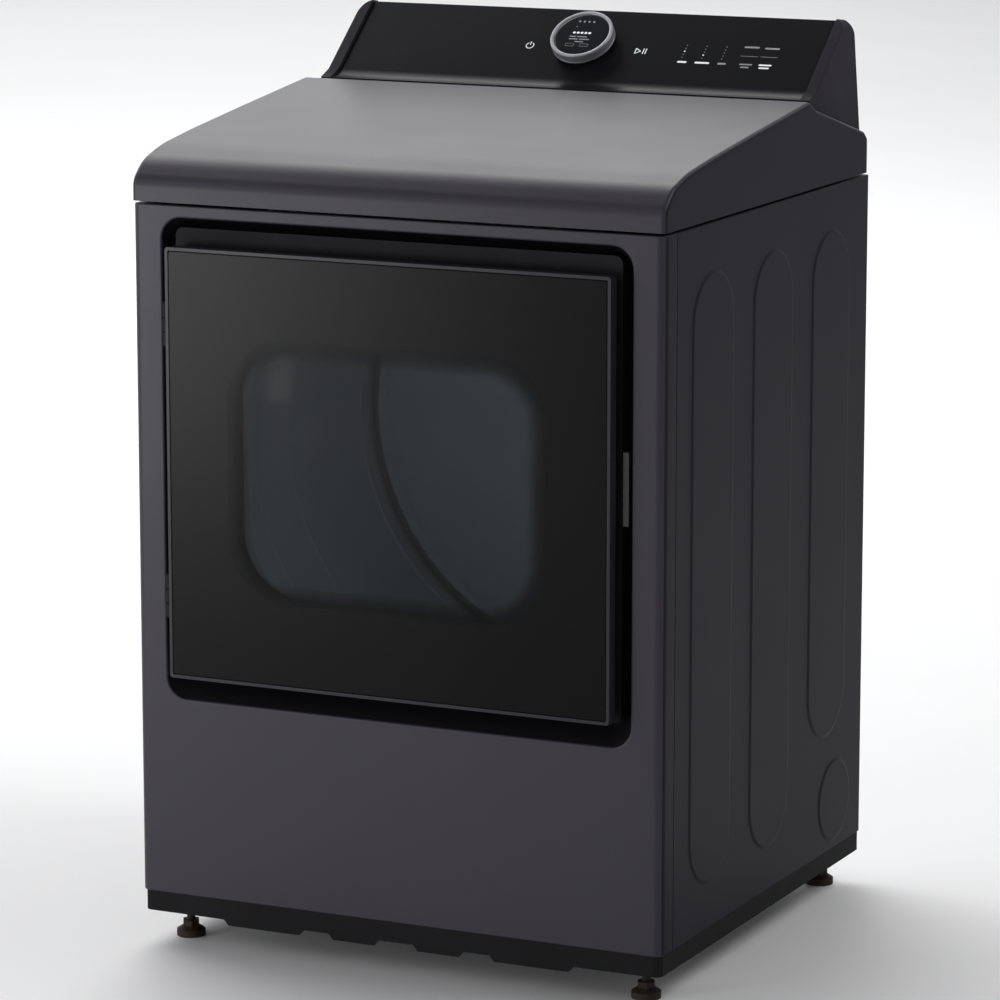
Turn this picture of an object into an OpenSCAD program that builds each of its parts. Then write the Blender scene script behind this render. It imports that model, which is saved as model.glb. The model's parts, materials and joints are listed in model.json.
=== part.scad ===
// Full-size clothes dryer with a rear control console and a door that opens two ways:
// it drops forward as a hamper, or swings sideways together with its carrier frame.
// Millimetres. +Z is up, the front faces -Y. The origin is on the floor, under the
// middle of the overall box.
// Every module is written in cabinet coordinates: x from the middle, y from the plane
// of the front panel towards the back, z from the floor. at_front() places it.

/* [Cabinet] */
// Width of the cabinet across its flat sides
cab_w = 686; // [670:1:760]
// Depth of the cabinet from the front panel to the rear panel
cab_d = 630; // [620:1:760]
// Height of the lower edge of the painted panels
panel_low_z = 65; // [60:1:90]
// Height of the upper edge of the painted panels
panel_high_z = 902; // [900:1:1100]
// Thickness of the painted sheet steel
sheet_t = 1; // [0.8:0.1:1.5]
// Radius of the two upright front corners
corner_r = 11; // [6:1:18]
// Distance that the front panel wraps onto the sides
wrap_d = 34; // [26:1:45]
// Height of the ribs pressed out of the side panels
rib_h = 1.5; // [1:0.5:3]
// Width of each side rib
rib_w = 126; // [90:1:130]

/* [Base and feet] */
// Height of the lower edge of the base skirt
base_low_z = 40; // [36:1:50]
// Distance that the lobes of the skirt hang below it
lobe_drop = 7; // [3:1:9]
// Thickness of the base pan's floor and skirt
base_t = 3; // [2:0.5:4]
// Distance of each foot's axis from the cabinet's side
foot_inset = 40; // [34:1:60]
// Distance of the front feet behind the front panel
foot_front_y = 50; // [40:1:80]
// Distance of the rear feet in front of the rear panel
foot_rear_gap = 34; // [30:1:70]
// Diameter of a foot's rubber pad
foot_pad_d = 35; // [28:1:44]
// Diameter of a foot's threaded stem
foot_stem_d = 10; // [8:1:12]
// Distance that a foot can be screwed out
foot_travel = 12; // [5:1:15]

/* [Door] */
// Width of the outer door
door_w = 573; // [540:1:575]
// Height of the outer door's lower edge
door_low_z = 339; // [335:1:350]
// Height of the outer door
door_h = 517; // [500:1:520]
// Distance that the closed door stands proud of the front panel
door_proud = 23; // [18:1:28]
// Thickness of the outer door
door_t = 16; // [12:1:16]
// Thickness of the door glass
glass_t = 4; // [3:0.5:5]
// Distance from the door's side edges to the clear window
window_side_margin = 78.5; // [78:0.5:100]
// Distance from the door's lower and upper edges to the clear window
window_end_margin = 99.5; // [96:0.5:120]
// Corner radius of the clear window
window_r = 80; // [60:1:100]
// Thickness of the carrier frame behind the door
carrier_t = 15; // [12:1:16]
// Distance that the carrier frame stands above the door
carrier_rise = 20; // [14:1:21]

/* [Front recess] */
// Gap between the door's side edges and the recess
recess_side_gap = 16.5; // [15:0.5:18]
// Gap between the door's lower edge and the recess
recess_low_gap = 31; // [29:1:39]
// Gap between the door's upper edge and the recess
recess_high_gap = 31.6; // [30:0.1:34]
// Depth of the recess
recess_d = 26; // [25:1:28]
// Corner radius of the recess
recess_r = 26; // [15:1:30]

/* [Drum] */
// Outside radius of the drum
drum_r = 312; // [260:1:313]
// Height of the drum's axis
drum_z = 577; // [570:1:588]
// Thickness of the drum's sheet
drum_t = 1.2; // [0.8:0.1:2]
// Length of the drum
drum_len = 516; // [430:1:520]
// Height of the three baffles inside the drum
baffle_h = 52; // [35:1:70]
// Distance from the door's side edges to the mouth
mouth_side_margin = 66.5; // [66:0.5:80]
// Distance from the door's lower and upper edges to the mouth
mouth_end_margin = 72.5; // [71:0.5:90]
// Corner radius of the mouth
mouth_r = 110; // [60:1:150]
// Radius of each drum roller
roller_r = 35; // [25:1:38]
// Radius of each roller's axle
axle_r = 6; // [4:0.5:8]

/* [Drive and air] */
// Radius of the belt groove in the motor pulley
pulley_r = 12; // [9:1:16]
// Radius of the idler pulley
idler_r = 26; // [18:1:30]
// Thickness of the drive belt
belt_t = 2.2; // [1.5:0.1:3]
// Width of the drive belt
belt_w = 9; // [6:1:12]
// Radius of the motor's body
motor_r = 62; // [50:1:66]
// Radius of the motor shaft
shaft_r = 6; // [5:0.5:8]
// Radius of the blower wheel
blower_r = 78; // [60:1:80]
// Outside radius of the exhaust pipe, a nominal four inch duct
exhaust_r = 50.8; // [48:0.1:51]
// Height of the exhaust pipe's axis
exhaust_z = 105; // [104:1:110]
// Distance that the exhaust pipe stands out of the rear panel
exhaust_proud = 30; // [25:1:60]
// Width of the lint filter
filter_w = 250; // [200:1:260]
// Distance that the lint filter is drawn up to come free of its slot
filter_travel = 150; // [100:1:160]

/* [Console] */
// Width of the console
console_w = 662; // [600:1:680]
// Slope of the control fascia
fascia_slope = 39; // [34:0.5:42]
// Radius of the concave toe of the fascia
toe_r = 39; // [30:1:45]
// Thickness of each console end cap
end_cap_t = 14; // [10:1:18]
// Radius of the selector knob's ring
knob_r = 40.5; // [32:0.5:42]
// Radius of the fixed display inside the ring
knob_display_r = 35.5; // [26:0.5:36]
// Height that the selector knob stands proud of the fascia
knob_h = 18; // [14:1:24]

/* [Clearances] */
// Running clearance round every shaft and pin
run_gap = 0.05; // [0.02:0.01:0.1]
// Gap between faces that pass each other
face_gap = 0.5; // [0.3:0.1:1]

/* [Hidden] */
$fn = 96;
eps = 0.01;

paint = [0.24, 0.23, 0.28];
gloss_black = [0.08, 0.08, 0.09];
matte_black = [0.06, 0.06, 0.06];
dark_grey = [0.18, 0.18, 0.19];
zinc = [0.72, 0.73, 0.74];
stainless = [0.80, 0.80, 0.80];
white_plastic = [0.85, 0.85, 0.83];

// The front panel's plane, set so that the overall box is centred on the origin
y_front = -(cab_d + exhaust_proud - door_proud) / 2;
half_w = cab_w / 2;
in_w = half_w - sheet_t;
rear_y = cab_d - sheet_t;
foot_x = half_w - foot_inset;
side_front_y = wrap_d + face_gap;

// Side ribs: the lower and upper ends of each
rib_low_z = [119, 117, 213];
rib_high_z = [848, 849, 850];
knockout_y = cab_d - 91;
knockout_z = 127;
knockout_r = 54;

// Recess floor, narrower than its opening by the draft of the walls
recess_w = door_w + 2 * recess_side_gap;
recess_low_z = door_low_z - recess_low_gap;
recess_high_z = door_low_z + door_h + recess_high_gap;
recess_side_draft = 11.5;
recess_ramp = 21;
recess_top_draft = 8;
floor_w = recess_w - 2 * recess_side_draft;
floor_low_z = recess_low_z + recess_ramp;
floor_high_z = recess_high_z - recess_top_draft;

// Door and carrier
door_high_z = door_low_z + door_h;
door_mid_z = (door_low_z + door_high_z) / 2;
mouth_w = door_w - 2 * mouth_side_margin;
mouth_h = door_h - 2 * mouth_end_margin;
mouth_z = door_mid_z;
mouth_low_z = mouth_z - mouth_h / 2;
window_w = door_w - 2 * window_side_margin;
window_h = door_h - 2 * window_end_margin;
door_back_y = door_t - door_proud;
trim_w = 4;
carrier_front_y = 7;
carrier_back_y = carrier_front_y + carrier_t;
carrier_w = door_w + 3;
carrier_low_z = floor_low_z + 7;
carrier_high_z = door_high_z + carrier_rise;
carrier_open_w = mouth_w + 72;
carrier_open_low_z = carrier_low_z + 34;
carrier_open_high_z = carrier_high_z - 50;
carrier_r = 10;
carrier_open_r = 30;
latch_z = carrier_high_z - 34;
latch_w = 60;
latch_h = 16;
tongue_w = 10;
tongue_x = carrier_w / 2 - 17;
inner_panel_gap = 6;
inner_w = carrier_open_w - 2 * inner_panel_gap;
inner_low_z = carrier_open_low_z + inner_panel_gap;
inner_high_z = carrier_open_high_z - inner_panel_gap;
inner_back_y = carrier_back_y - face_gap;
seal_gap = 0.4;
seal_in = 4;
seal_w = 10;

// Swing hinge: an upright axis in the gap to the left of the door
swing_x = -(door_w / 2 + 9.5);
swing_y = -4;
swing_pin_r = 2.5;
swing_knuckle_r = 4.5;
swing_z = [door_low_z + 95, door_high_z - 95];
knuckle_h = 16;

// Drop hinge: a level axis just behind the door's lower edge
drop_y = door_back_y + 5;
drop_z = door_low_z + 7;
drop_pin_r = 2;
drop_knuckle_r = 4.5;
drop_x = door_w / 2 - 32;
drop_lug_w = 10;
drop_door_lug_w = 14;

// Drum, bulkheads and seals
drum_front_y = recess_d + 36;
drum_back_y = drum_front_y + drum_len;
drum_in_r = drum_r - drum_t;
felt_t = 7;
felt_len = 16;
felt_gap = 0.3;
flange_r = drum_in_r - felt_gap - felt_t;
bulk_front_y = drum_front_y - 4;
bulk_back_y = drum_back_y + 4;
bulk_t = 1.2;

// Front edges of the side ribs: the rearmost stays clear of the flat that holds the rear bulkhead
rib_first_y = 76;
rib_last_y = bulk_back_y - 13 - rib_w;
rib_front_y = [rib_first_y, (rib_first_y + rib_last_y) / 2 - 1.5, rib_last_y];
roller_angle = 35;
roller_w = 22;
roller_gap = 0.4;
roller_c_r = drum_r + roller_gap + roller_r;
roller_cx = roller_c_r * sin(roller_angle);
roller_cz = drum_z - roller_c_r * cos(roller_angle);
roller_boss_r = axle_r + 8;
roller_front_cy = drum_front_y + 6;
roller_back_cy = drum_back_y - 6 - roller_w;

// Motor, belt and blower
motor_x = -165;
motor_z = 140;
belt_gap = 0.4;
belt_y = drum_back_y - 128;
belt_r = drum_r + belt_gap;
motor_y0 = belt_y - 190;
motor_y1 = belt_y - 40;
shaft_y0 = 88;
shaft_y1 = belt_y + belt_w + 8;
idler_x = -62;
idler_z = 214;
housing_y0 = 84;
housing_y1 = 152;
housing_t = 2;
housing_r = blower_r + 12;
duct_y0 = recess_d + 5;
duct_t = 2;
filter_t = 14;
filter_y = duct_y0 + duct_t + 2;
filter_h = 148;
filter_high_z = mouth_low_z - 2;
filter_low_z = filter_high_z - filter_h;
blower_inlet_r = blower_r - 16;

// Top cover and console, (y, z) outlines
cover_low_z = panel_high_z + 3;
cover_front_z = cover_low_z + 26;
ridge_y = cab_d - 195;
ridge_z = cover_low_z + 105.5;
cover_t = 1.5;
console_base_y = cab_d - 14;
console_base_z = cover_low_z + 52;
tip_y = ridge_y + 28;
tip_z = ridge_z - 1.5;
fascia_top_z = tip_z + 86;
toe_end_y = tip_y + toe_r * sin(fascia_slope);
toe_end_z = tip_z + toe_r * (1 - cos(fascia_slope));
fascia_top_y = toe_end_y + (fascia_top_z - toe_end_z) / tan(fascia_slope);
fascia_t = 3;
console_half_w = console_w / 2;
fascia_half_w = console_half_w - end_cap_t;
knob_y = fascia_top_y - 47;
knob_z = fascia_top_z - 47 * tan(fascia_slope);
collar_h = 3;
ring_gap = 0.5;

// Upper face of the base pan's floor
floor_z = base_low_z + 6;
floor_top_z = floor_z + base_t;

// Places of the foot axes
foot_rear_y = cab_d - foot_rear_gap;
foot_stem_high_z = panel_low_z + 12;
foot_hub_r = foot_stem_d / 2 + 7;

// ---- helpers ----

module at_front() { translate([0, y_front, 0]) children(); }

// A flat shape in (x, z), thick from y0 to y1
module xz(y0, y1) {
    translate([0, y1, 0]) rotate([90, 0, 0]) linear_extrude(y1 - y0) children();
}

// A flat shape in (y, z), thick from x0 to x1
module yz(x0, x1) {
    translate([x0, 0, 0]) rotate([90, 0, 90]) linear_extrude(x1 - x0) children();
}

// A flat shape in (x, y), thick from z0 to z1
module xy(z0, z1) { translate([0, 0, z0]) linear_extrude(z1 - z0) children(); }

module box(x0, x1, y0, y1, z0, z1) {
    translate([x0, y0, z0]) cube([x1 - x0, y1 - y0, z1 - z0]);
}

module rounded_rect(w, h, r) {
    square([w - 2 * r, h], center = true);
    square([w, h - 2 * r], center = true);
    for (sx = [-1, 1], sy = [-1, 1])
        translate([sx * (w / 2 - r), sy * (h / 2 - r)]) circle(r);
}

// Rounded rectangle between two heights, centred on x = 0
module panel_shape(w, z0, z1, r) {
    translate([0, (z0 + z1) / 2]) rounded_rect(w, z1 - z0, r);
}

// A cylinder along +Y from y0 to y1
module rod_y(r, y0, y1) { translate([0, y1, 0]) rotate([90, 0, 0]) cylinder(r = r, h = y1 - y0); }

// A cylinder along +X from x0 to x1
module rod_x(r, x0, x1) { translate([x0, 0, 0]) rotate([0, 90, 0]) cylinder(r = r, h = x1 - x0); }

module tube_y(r_out, r_in, y0, y1) {
    difference() {
        rod_y(r_out, y0, y1);
        rod_y(r_in, y0 - 1, y1 + 1);
    }
}

// ---- cabinet ----

module stadium(w, z0, z1) {
    translate([-w / 2, z0 + w / 2]) square([w, z1 - z0 - w]);
    translate([0, z0 + w / 2]) circle(w / 2);
    translate([0, z1 - w / 2]) circle(w / 2);
}

module skirt_outline(grow) {
    r = corner_r;
    h = half_w - 2 + grow;
    translate([-h, r]) square([2 * h, cab_d - 2 - r + grow]);
    translate([-h + r, 2 - grow]) square([2 * (h - r), r]);
    for (s = [-1, 1]) translate([s * (h - r), 2 - grow + r]) circle(r);
}

module base_lobe(x0, x1) {
    xz(2, 2 + base_t) polygon([
        [x0, base_low_z + 1], [x0 + lobe_drop, base_low_z - lobe_drop],
        [x1 - lobe_drop, base_low_z - lobe_drop], [x1, base_low_z + 1]
    ]);
}

module base_pan() {
    color(matte_black) at_front() {
        difference() {
            union() {
                difference() {
                    xy(base_low_z, panel_low_z) skirt_outline(0);
                    xy(floor_top_z, panel_low_z + 1) skirt_outline(-base_t);
                    xy(base_low_z - 1, floor_z) skirt_outline(-base_t);
                }
                for (s = [-1, 1], y = [foot_front_y, foot_rear_y])
                    translate([s * foot_x, y, base_low_z - lobe_drop])
                        cylinder(r = foot_hub_r, h = foot_stem_high_z - base_low_z + lobe_drop);
                for (x = [22, 122]) {
                    base_lobe(x, x + (x < 100 ? 68 : 110));
                    base_lobe(-x - (x < 100 ? 68 : 110), -x);
                }
                for (s = [-1, 1], y = [foot_front_y, foot_rear_y])
                    box(s * foot_x - 18, s * foot_x + 18, y - 18, y + 18,
                        base_low_z - lobe_drop + 2, floor_z + 1);
            }
            for (s = [-1, 1], y = [foot_front_y, foot_rear_y])
                translate([s * foot_x, y, 0])
                    cylinder(r = foot_stem_d / 2 + run_gap, h = foot_stem_high_z + 1);
            translate([0, 0, exhaust_z]) rod_y(exhaust_r + 1.5, cab_d - 20, cab_d + 1);
        }
    }
}

// Plan of the front panel: a flat front with two round corners, wrapped onto the sides
module wrap_plan(h, r, y0, y1) {
    translate([-h, y0 + r]) square([2 * h, y1 - y0 - r]);
    translate([-h + r, y0]) square([2 * (h - r), r]);
    for (s = [-1, 1]) translate([s * (h - r), y0 + r]) circle(r);
}

// Tapered space of the recess, grown outwards by g
module recess_space(g, y0, y1) {
    hull() {
        xz(y0, y0 + 0.5) panel_shape(recess_w + 2 * g, recess_low_z - g, recess_high_z + g, recess_r + g, $fn = 32);
        xz(y1 - 0.5, y1) panel_shape(floor_w + 2 * g, floor_low_z - g, floor_high_z + g, recess_r + g, $fn = 32);
    }
}

module mouth_shape(g) {
    translate([0, mouth_z]) rounded_rect(mouth_w + 2 * g, mouth_h + 2 * g, mouth_r + g);
}

module front_panel() {
    color(paint) at_front() difference() {
        union() {
            difference() {
                xy(panel_low_z, panel_high_z) wrap_plan(half_w, corner_r, 0, wrap_d);
                xy(panel_low_z + sheet_t, panel_high_z - sheet_t)
                    wrap_plan(half_w - sheet_t, corner_r - sheet_t, sheet_t, wrap_d + 1);
                box(-in_w + 20, in_w - 20, 18, wrap_d + 1, panel_low_z - 1, panel_high_z + 1);
            }
            recess_space(sheet_t, 0, recess_d + sheet_t);
            box(-in_w + 20, in_w - 20, 8, 16, panel_high_z - sheet_t, cover_low_z);
        }
        recess_space(0, -0.1, recess_d);
        xz(recess_d - 1, recess_d + 2) mouth_shape(0);
        box(tongue_x - tongue_w / 2 - 2, tongue_x + tongue_w / 2 + 2, recess_d - 1, recess_d + 2,
            door_mid_z - 11, door_mid_z + 11);
    }
}

module side_panel() {
    difference() {
        union() {
            yz(in_w, half_w) translate([side_front_y, panel_low_z])
                square([rear_y - side_front_y, panel_high_z - panel_low_z]);
            for (i = [0:2])
                yz(half_w - eps, half_w + rib_h) translate([rib_front_y[i] + rib_w / 2, 0])
                    stadium(rib_w, rib_low_z[i], rib_high_z[i]);
            translate([0, knockout_y, knockout_z]) rod_x(knockout_r, half_w - eps, half_w + rib_h);
            for (z = [panel_low_z, panel_high_z - sheet_t])
                box(in_w - 14, in_w + eps, side_front_y + 2, rear_y, z, z + sheet_t);
            box(in_w - 14, in_w - 6, side_front_y + 2, rear_y - 2, panel_high_z - sheet_t, cover_low_z);
        }
        for (i = [0:2])
            yz(in_w - 1, half_w + rib_h - sheet_t) translate([rib_front_y[i] + rib_w / 2, 0])
                stadium(rib_w - 4, rib_low_z[i] + 2, rib_high_z[i] - 2);
        translate([0, knockout_y, knockout_z])
            rod_x(knockout_r - 2, in_w - 1, half_w + rib_h - sheet_t);
    }
}

module side_panel_right() { color(paint) at_front() side_panel(); }

module side_panel_left() { color(paint) at_front() mirror([1, 0, 0]) side_panel(); }

terminal_x = -235;
terminal_z = 800;
valve_x = 250;
valve_z = 150;
valve_r = 13.2;

module rear_panel() {
    color(zinc) at_front() difference() {
        xz(rear_y, cab_d) translate([-in_w, panel_low_z])
            square([2 * in_w, panel_high_z - panel_low_z]);
        translate([0, 0, exhaust_z]) rod_y(exhaust_r + 1.5, rear_y - 1, cab_d + 1);
        translate([valve_x, 0, valve_z]) rod_y(valve_r + 1, rear_y - 1, cab_d + 1);
        translate([terminal_x, 0, terminal_z]) rod_y(12, rear_y - 1, cab_d + 1);
        for (i = [-5:5], k = [0:3])
            box(i * 36 - 12, i * 36 + 12, rear_y - 1, cab_d + 1, 300 + k * 16, 305 + k * 16);
    }
}

// ---- top cover and console ----

function cover_outline(t) = [
    [t, cover_low_z + t], [t, cover_front_z - t], [24 + t, cover_front_z + 21.5 - t],
    [68, cover_front_z + 34.5 - t], [137, cover_front_z + 44.5 - t], [265, cover_front_z + 60 - t],
    [ridge_y - t, ridge_z - t], [ridge_y + 21 - t, ridge_z - 11.5 - t],
    [console_base_y - t, console_base_z - t], [cab_d - 3 - t, console_base_z - 9 - t],
    [cab_d - 3 - t, cover_low_z + t]
];

module top_cover() {
    color(paint) at_front() difference() {
        yz(-half_w, half_w) polygon(cover_outline(0));
        yz(-half_w + cover_t, half_w - cover_t) polygon(cover_outline(cover_t));
        box(-in_w + 16, in_w - 16, 18, cab_d - 20, cover_low_z - 1, cover_low_z + cover_t + 1);
    }
}

toe_steps = 10;

// Front curve of the fascia, moved inwards along its normal by t
function fascia_curve(t) = concat(
    [for (i = [0:toe_steps]) let (a = fascia_slope * i / toe_steps)
        [tip_y + toe_r * sin(a) + t * sin(a), tip_z + toe_r * (1 - cos(a)) - t * cos(a)]],
    [[fascia_top_y + t * sin(fascia_slope), fascia_top_z - t * cos(fascia_slope)]]
);

function reversed(v) = [for (i = [len(v) - 1:-1:0]) v[i]];

// Places children at the knob's foot with +Z along the fascia's normal
module at_knob() {
    translate([0, knob_y, knob_z]) rotate([fascia_slope, 0, 0]) children();
}

module control_fascia() {
    color(gloss_black) at_front() difference() {
        yz(-fascia_half_w + 0.3, fascia_half_w - 0.3)
            polygon(concat(fascia_curve(0), reversed(fascia_curve(fascia_t))));
        at_knob() translate([0, 0, -2 * fascia_t]) cylinder(r = 10, h = 4 * fascia_t);
    }
}

cap_lip = 2;

module end_cap() {
    intersection() {
        yz(fascia_half_w, console_half_w) polygon([
            [tip_y - 3, tip_z - 10], [tip_y - 3, tip_z], [toe_end_y - 6, toe_end_z],
            [fascia_top_y - 4, fascia_top_z + cap_lip], [fascia_top_y + 10, fascia_top_z],
            [cab_d - 24, fascia_top_z - 18], [cab_d - 2, console_base_z - 7],
            [console_base_y, console_base_z + 0.3]
        ]);
        xz(0, cab_d) translate([0, 800])
            rounded_rect(console_w, 2 * (fascia_top_z + cap_lip - 800), 16);
    }
}

module end_cap_right() { color(matte_black) at_front() end_cap(); }

module end_cap_left() { color(matte_black) at_front() mirror([1, 0, 0]) end_cap(); }

module console_back() {
    back_t = 1.5;
    top_y = fascia_top_y + fascia_t * sin(fascia_slope) + 0.3;
    color(matte_black) at_front()
        yz(-fascia_half_w + 0.3, fascia_half_w - 0.3) polygon([
            [top_y, fascia_top_z - 1], [fascia_top_y + 10, fascia_top_z - 1.5],
            [cab_d - 25, fascia_top_z - 19], [cab_d - 3, console_base_z - 7],
            [cab_d - 3 - back_t, console_base_z - 7], [cab_d - 25 - back_t, fascia_top_z - 19 - back_t],
            [fascia_top_y + 10, fascia_top_z - 1.5 - back_t], [top_y, fascia_top_z - 1 - back_t]
        ]);
}

board_w = 440;
board_t = 1.6;
board_gap = 10;

module control_board() {
    color([0.10, 0.30, 0.16]) at_front() at_knob() {
        translate([-board_w / 2, -14, -fascia_t - board_gap]) cube([board_w, 50, board_t]);
        for (x = [-190, -120, 80, 150])
            translate([x, 6, -fascia_t - board_gap + board_t]) cube([22, 14, 5]);
        for (x = [-board_w / 2 + 8, board_w / 2 - 8], y = [-6, 28])
            translate([x, y, -fascia_t - board_gap]) cylinder(r = 3, h = board_gap);
    }
}

module knob_collar() {
    color(matte_black) at_front() at_knob() difference() {
        union() {
            cylinder(r = knob_r - 4, h = collar_h);
            cylinder(r = knob_display_r - ring_gap - 3, h = knob_h - 6);
        }
        translate([0, 0, -1]) cylinder(r = 8, h = knob_h + 2);
    }
}

module knob_ring() {
    color(zinc) at_front() at_knob() rotate_extrude() polygon([
        [knob_display_r, collar_h + ring_gap], [knob_r - 2.5, collar_h + ring_gap],
        [knob_r, collar_h + ring_gap + 3], [knob_r, knob_h - 1.5], [knob_r - 1.5, knob_h],
        [knob_display_r, knob_h]
    ]);
}

module knob_display() {
    color(gloss_black) at_front() at_knob()
        translate([0, 0, knob_h - 6]) cylinder(r = knob_display_r - ring_gap, h = 5);
}

// ---- door and carrier ----

module drop_bore(x0, x1) {
    translate([0, drop_y, drop_z]) rod_x(drop_pin_r + run_gap, x0, x1);
}

// One hinge lug round the drop axis, joined to a face at y_face
module drop_lug(x0, x1, y_face) {
    translate([0, drop_y, drop_z]) rod_x(drop_knuckle_r, x0, x1);
    box(x0, x1, min(drop_y, y_face), max(drop_y, y_face),
        drop_z - drop_knuckle_r, drop_z + drop_knuckle_r);
}

drop_door_x = drop_x - drop_door_lug_w / 2;
drop_gap = 1;

module door_carrier() {
    color(dark_grey) at_front() difference() {
        union() {
            difference() {
                xz(carrier_front_y, carrier_back_y)
                    panel_shape(carrier_w, carrier_low_z, carrier_high_z, carrier_r);
                xz(carrier_front_y - 1, carrier_back_y + 1)
                    panel_shape(carrier_open_w, carrier_open_low_z, carrier_open_high_z, carrier_open_r);
            }
            for (s = [-1, 1], o = [drop_door_x - drop_gap - drop_lug_w, drop_door_x + drop_door_lug_w + drop_gap])
                drop_lug(min(s * o, s * (o + drop_lug_w)), max(s * o, s * (o + drop_lug_w)),
                         carrier_front_y + 1);
            box(tongue_x - tongue_w / 2, tongue_x + tongue_w / 2, carrier_back_y - 1,
                recess_d + sheet_t + 7, door_mid_z - 9, door_mid_z + 9);
        }
        for (s = [-1, 1])
            drop_bore(min(s * (drop_door_x - 15), s * (drop_door_x + 35)),
                      max(s * (drop_door_x - 15), s * (drop_door_x + 35)));
        xz(carrier_front_y - 1, carrier_back_y + 1)
            translate([0, latch_z]) square([latch_w, latch_h], center = true);
    }
}

module side_grip() {
    color([0.55, 0.55, 0.56]) at_front()
        xy(door_mid_z - 32, door_mid_z + 54) polygon([
            [carrier_w / 2, carrier_front_y + 2], [carrier_w / 2 + 7.5, carrier_front_y + 2],
            [carrier_w / 2 + 5, carrier_front_y + 12], [carrier_w / 2, carrier_front_y + 12]
        ]);
}

module window_shape(g) {
    translate([0, door_mid_z]) rounded_rect(window_w + 2 * g, window_h + 2 * g, window_r + g);
}

module door_frame() {
    color(dark_grey) at_front() difference() {
        union() {
            difference() {
                xz(-door_proud, door_back_y) panel_shape(door_w, door_low_z, door_high_z, 4);
                xz(-door_proud - 1, -door_proud + glass_t)
                    panel_shape(door_w - 2 * trim_w, door_low_z + trim_w, door_high_z - trim_w, 2);
                xz(-door_proud, door_back_y + 1) window_shape(0);
            }
            for (s = [-1, 1])
                drop_lug(min(s * drop_door_x, s * (drop_door_x + drop_door_lug_w)),
                         max(s * drop_door_x, s * (drop_door_x + drop_door_lug_w)), door_back_y - 1);
            box(-20, 20, door_back_y - 1, carrier_front_y + 10, latch_z - 4.5, latch_z + 4.5);
        }
        for (s = [-1, 1])
            drop_bore(min(s * (drop_door_x - 1), s * (drop_door_x + drop_door_lug_w + 1)),
                      max(s * (drop_door_x - 1), s * (drop_door_x + drop_door_lug_w + 1)));
    }
}

module door_glass() {
    color([0.02, 0.02, 0.02]) at_front()
        xz(-door_proud + 0.2, -door_proud + glass_t)
            panel_shape(door_w - 2 * trim_w - 0.6, door_low_z + trim_w + 0.3, door_high_z - trim_w - 0.3, 2);
}

module door_inner_panel() {
    color(dark_grey) at_front() difference() {
        xz(door_back_y, inner_back_y) panel_shape(inner_w, inner_low_z, inner_high_z, 26);
        xz(door_back_y - 1, inner_back_y - 3) difference() {
            panel_shape(inner_w - 6, inner_low_z + 3, inner_high_z - 3, 23);
            window_shape(3);
        }
        xz(door_back_y - 1, inner_back_y + 1) window_shape(0);
        xz(inner_back_y - 8, inner_back_y - 4) window_shape(1.5);
    }
}

module door_window() {
    color([0.5, 0.5, 0.5, 0.3]) at_front() xz(inner_back_y - 7.8, inner_back_y - 4.2) window_shape(1.2);
}

module door_seal() {
    color([0.3, 0.3, 0.31]) at_front() xz(inner_back_y, recess_d - seal_gap) difference() {
        mouth_shape(seal_in + seal_w);
        mouth_shape(seal_in);
    }
}

// Fixed half of both swing hinges: two knuckles each, on a plate along the recess wall
module swing_hinge_brackets() {
    color(zinc) at_front() for (z = swing_z) difference() {
        for (k = [-1, 1]) {
            z0 = z + k * (knuckle_h + 1) - knuckle_h / 2;
            translate([swing_x, swing_y, z0]) cylinder(r = swing_knuckle_r, h = knuckle_h);
            xy(z0, z0 + knuckle_h) polygon([
                [swing_x - swing_knuckle_r, swing_y], [-recess_w / 2 + 0.05, 0.5],
                [-recess_w / 2 + recess_side_draft * 14 / recess_d + 0.05, 14],
                [-recess_w / 2 + recess_side_draft * 14 / recess_d + 2.4, 14],
                [swing_x, swing_y + swing_knuckle_r - 1], [swing_x, swing_y]
            ]);
        }
        translate([swing_x, swing_y, z - 40]) cylinder(r = swing_pin_r + run_gap, h = 80);
    }
}

// Moving half of both swing hinges: the middle knuckle on a strap along the carrier's side
module swing_hinge_straps() {
    strap_h = knuckle_h - face_gap;
    strap_t = 2.5;
    color(zinc) at_front() for (z = swing_z) difference() {
        union() {
            translate([swing_x, swing_y, z - strap_h / 2]) cylinder(r = swing_knuckle_r, h = strap_h);
            box(-carrier_w / 2 - strap_t, -carrier_w / 2, swing_y - 2, carrier_back_y - 2,
                z - strap_h / 2, z + strap_h / 2);
            box(swing_x + 3, -carrier_w / 2, swing_y - 2, swing_y + 2, z - strap_h / 2, z + strap_h / 2);
        }
        translate([swing_x, swing_y, z - 40]) cylinder(r = swing_pin_r + run_gap, h = 80);
    }
}

module swing_hinge_pins() {
    reach = 1.5 * knuckle_h + 1;
    color(stainless) at_front() for (z = swing_z) translate([swing_x, swing_y, z - reach - 2]) {
        cylinder(r = swing_pin_r, h = 2 * reach + 2);
        translate([0, 0, 2 * reach + 2]) cylinder(r = swing_knuckle_r - 0.5, h = 2);
    }
}

module drop_hinge_pins() {
    x0 = drop_door_x - drop_gap - drop_lug_w;
    x1 = drop_door_x + drop_door_lug_w + drop_gap + drop_lug_w;
    color(stainless) at_front() for (s = [-1, 1]) translate([0, drop_y, drop_z]) {
        rod_x(drop_pin_r, min(s * x0, s * (x1 + 1)), max(s * x0, s * (x1 + 1)));
        rod_x(drop_knuckle_r - 1, min(s * (x1 + 0.2), s * (x1 + 2)), max(s * (x1 + 0.2), s * (x1 + 2)));
    }
}

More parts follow.
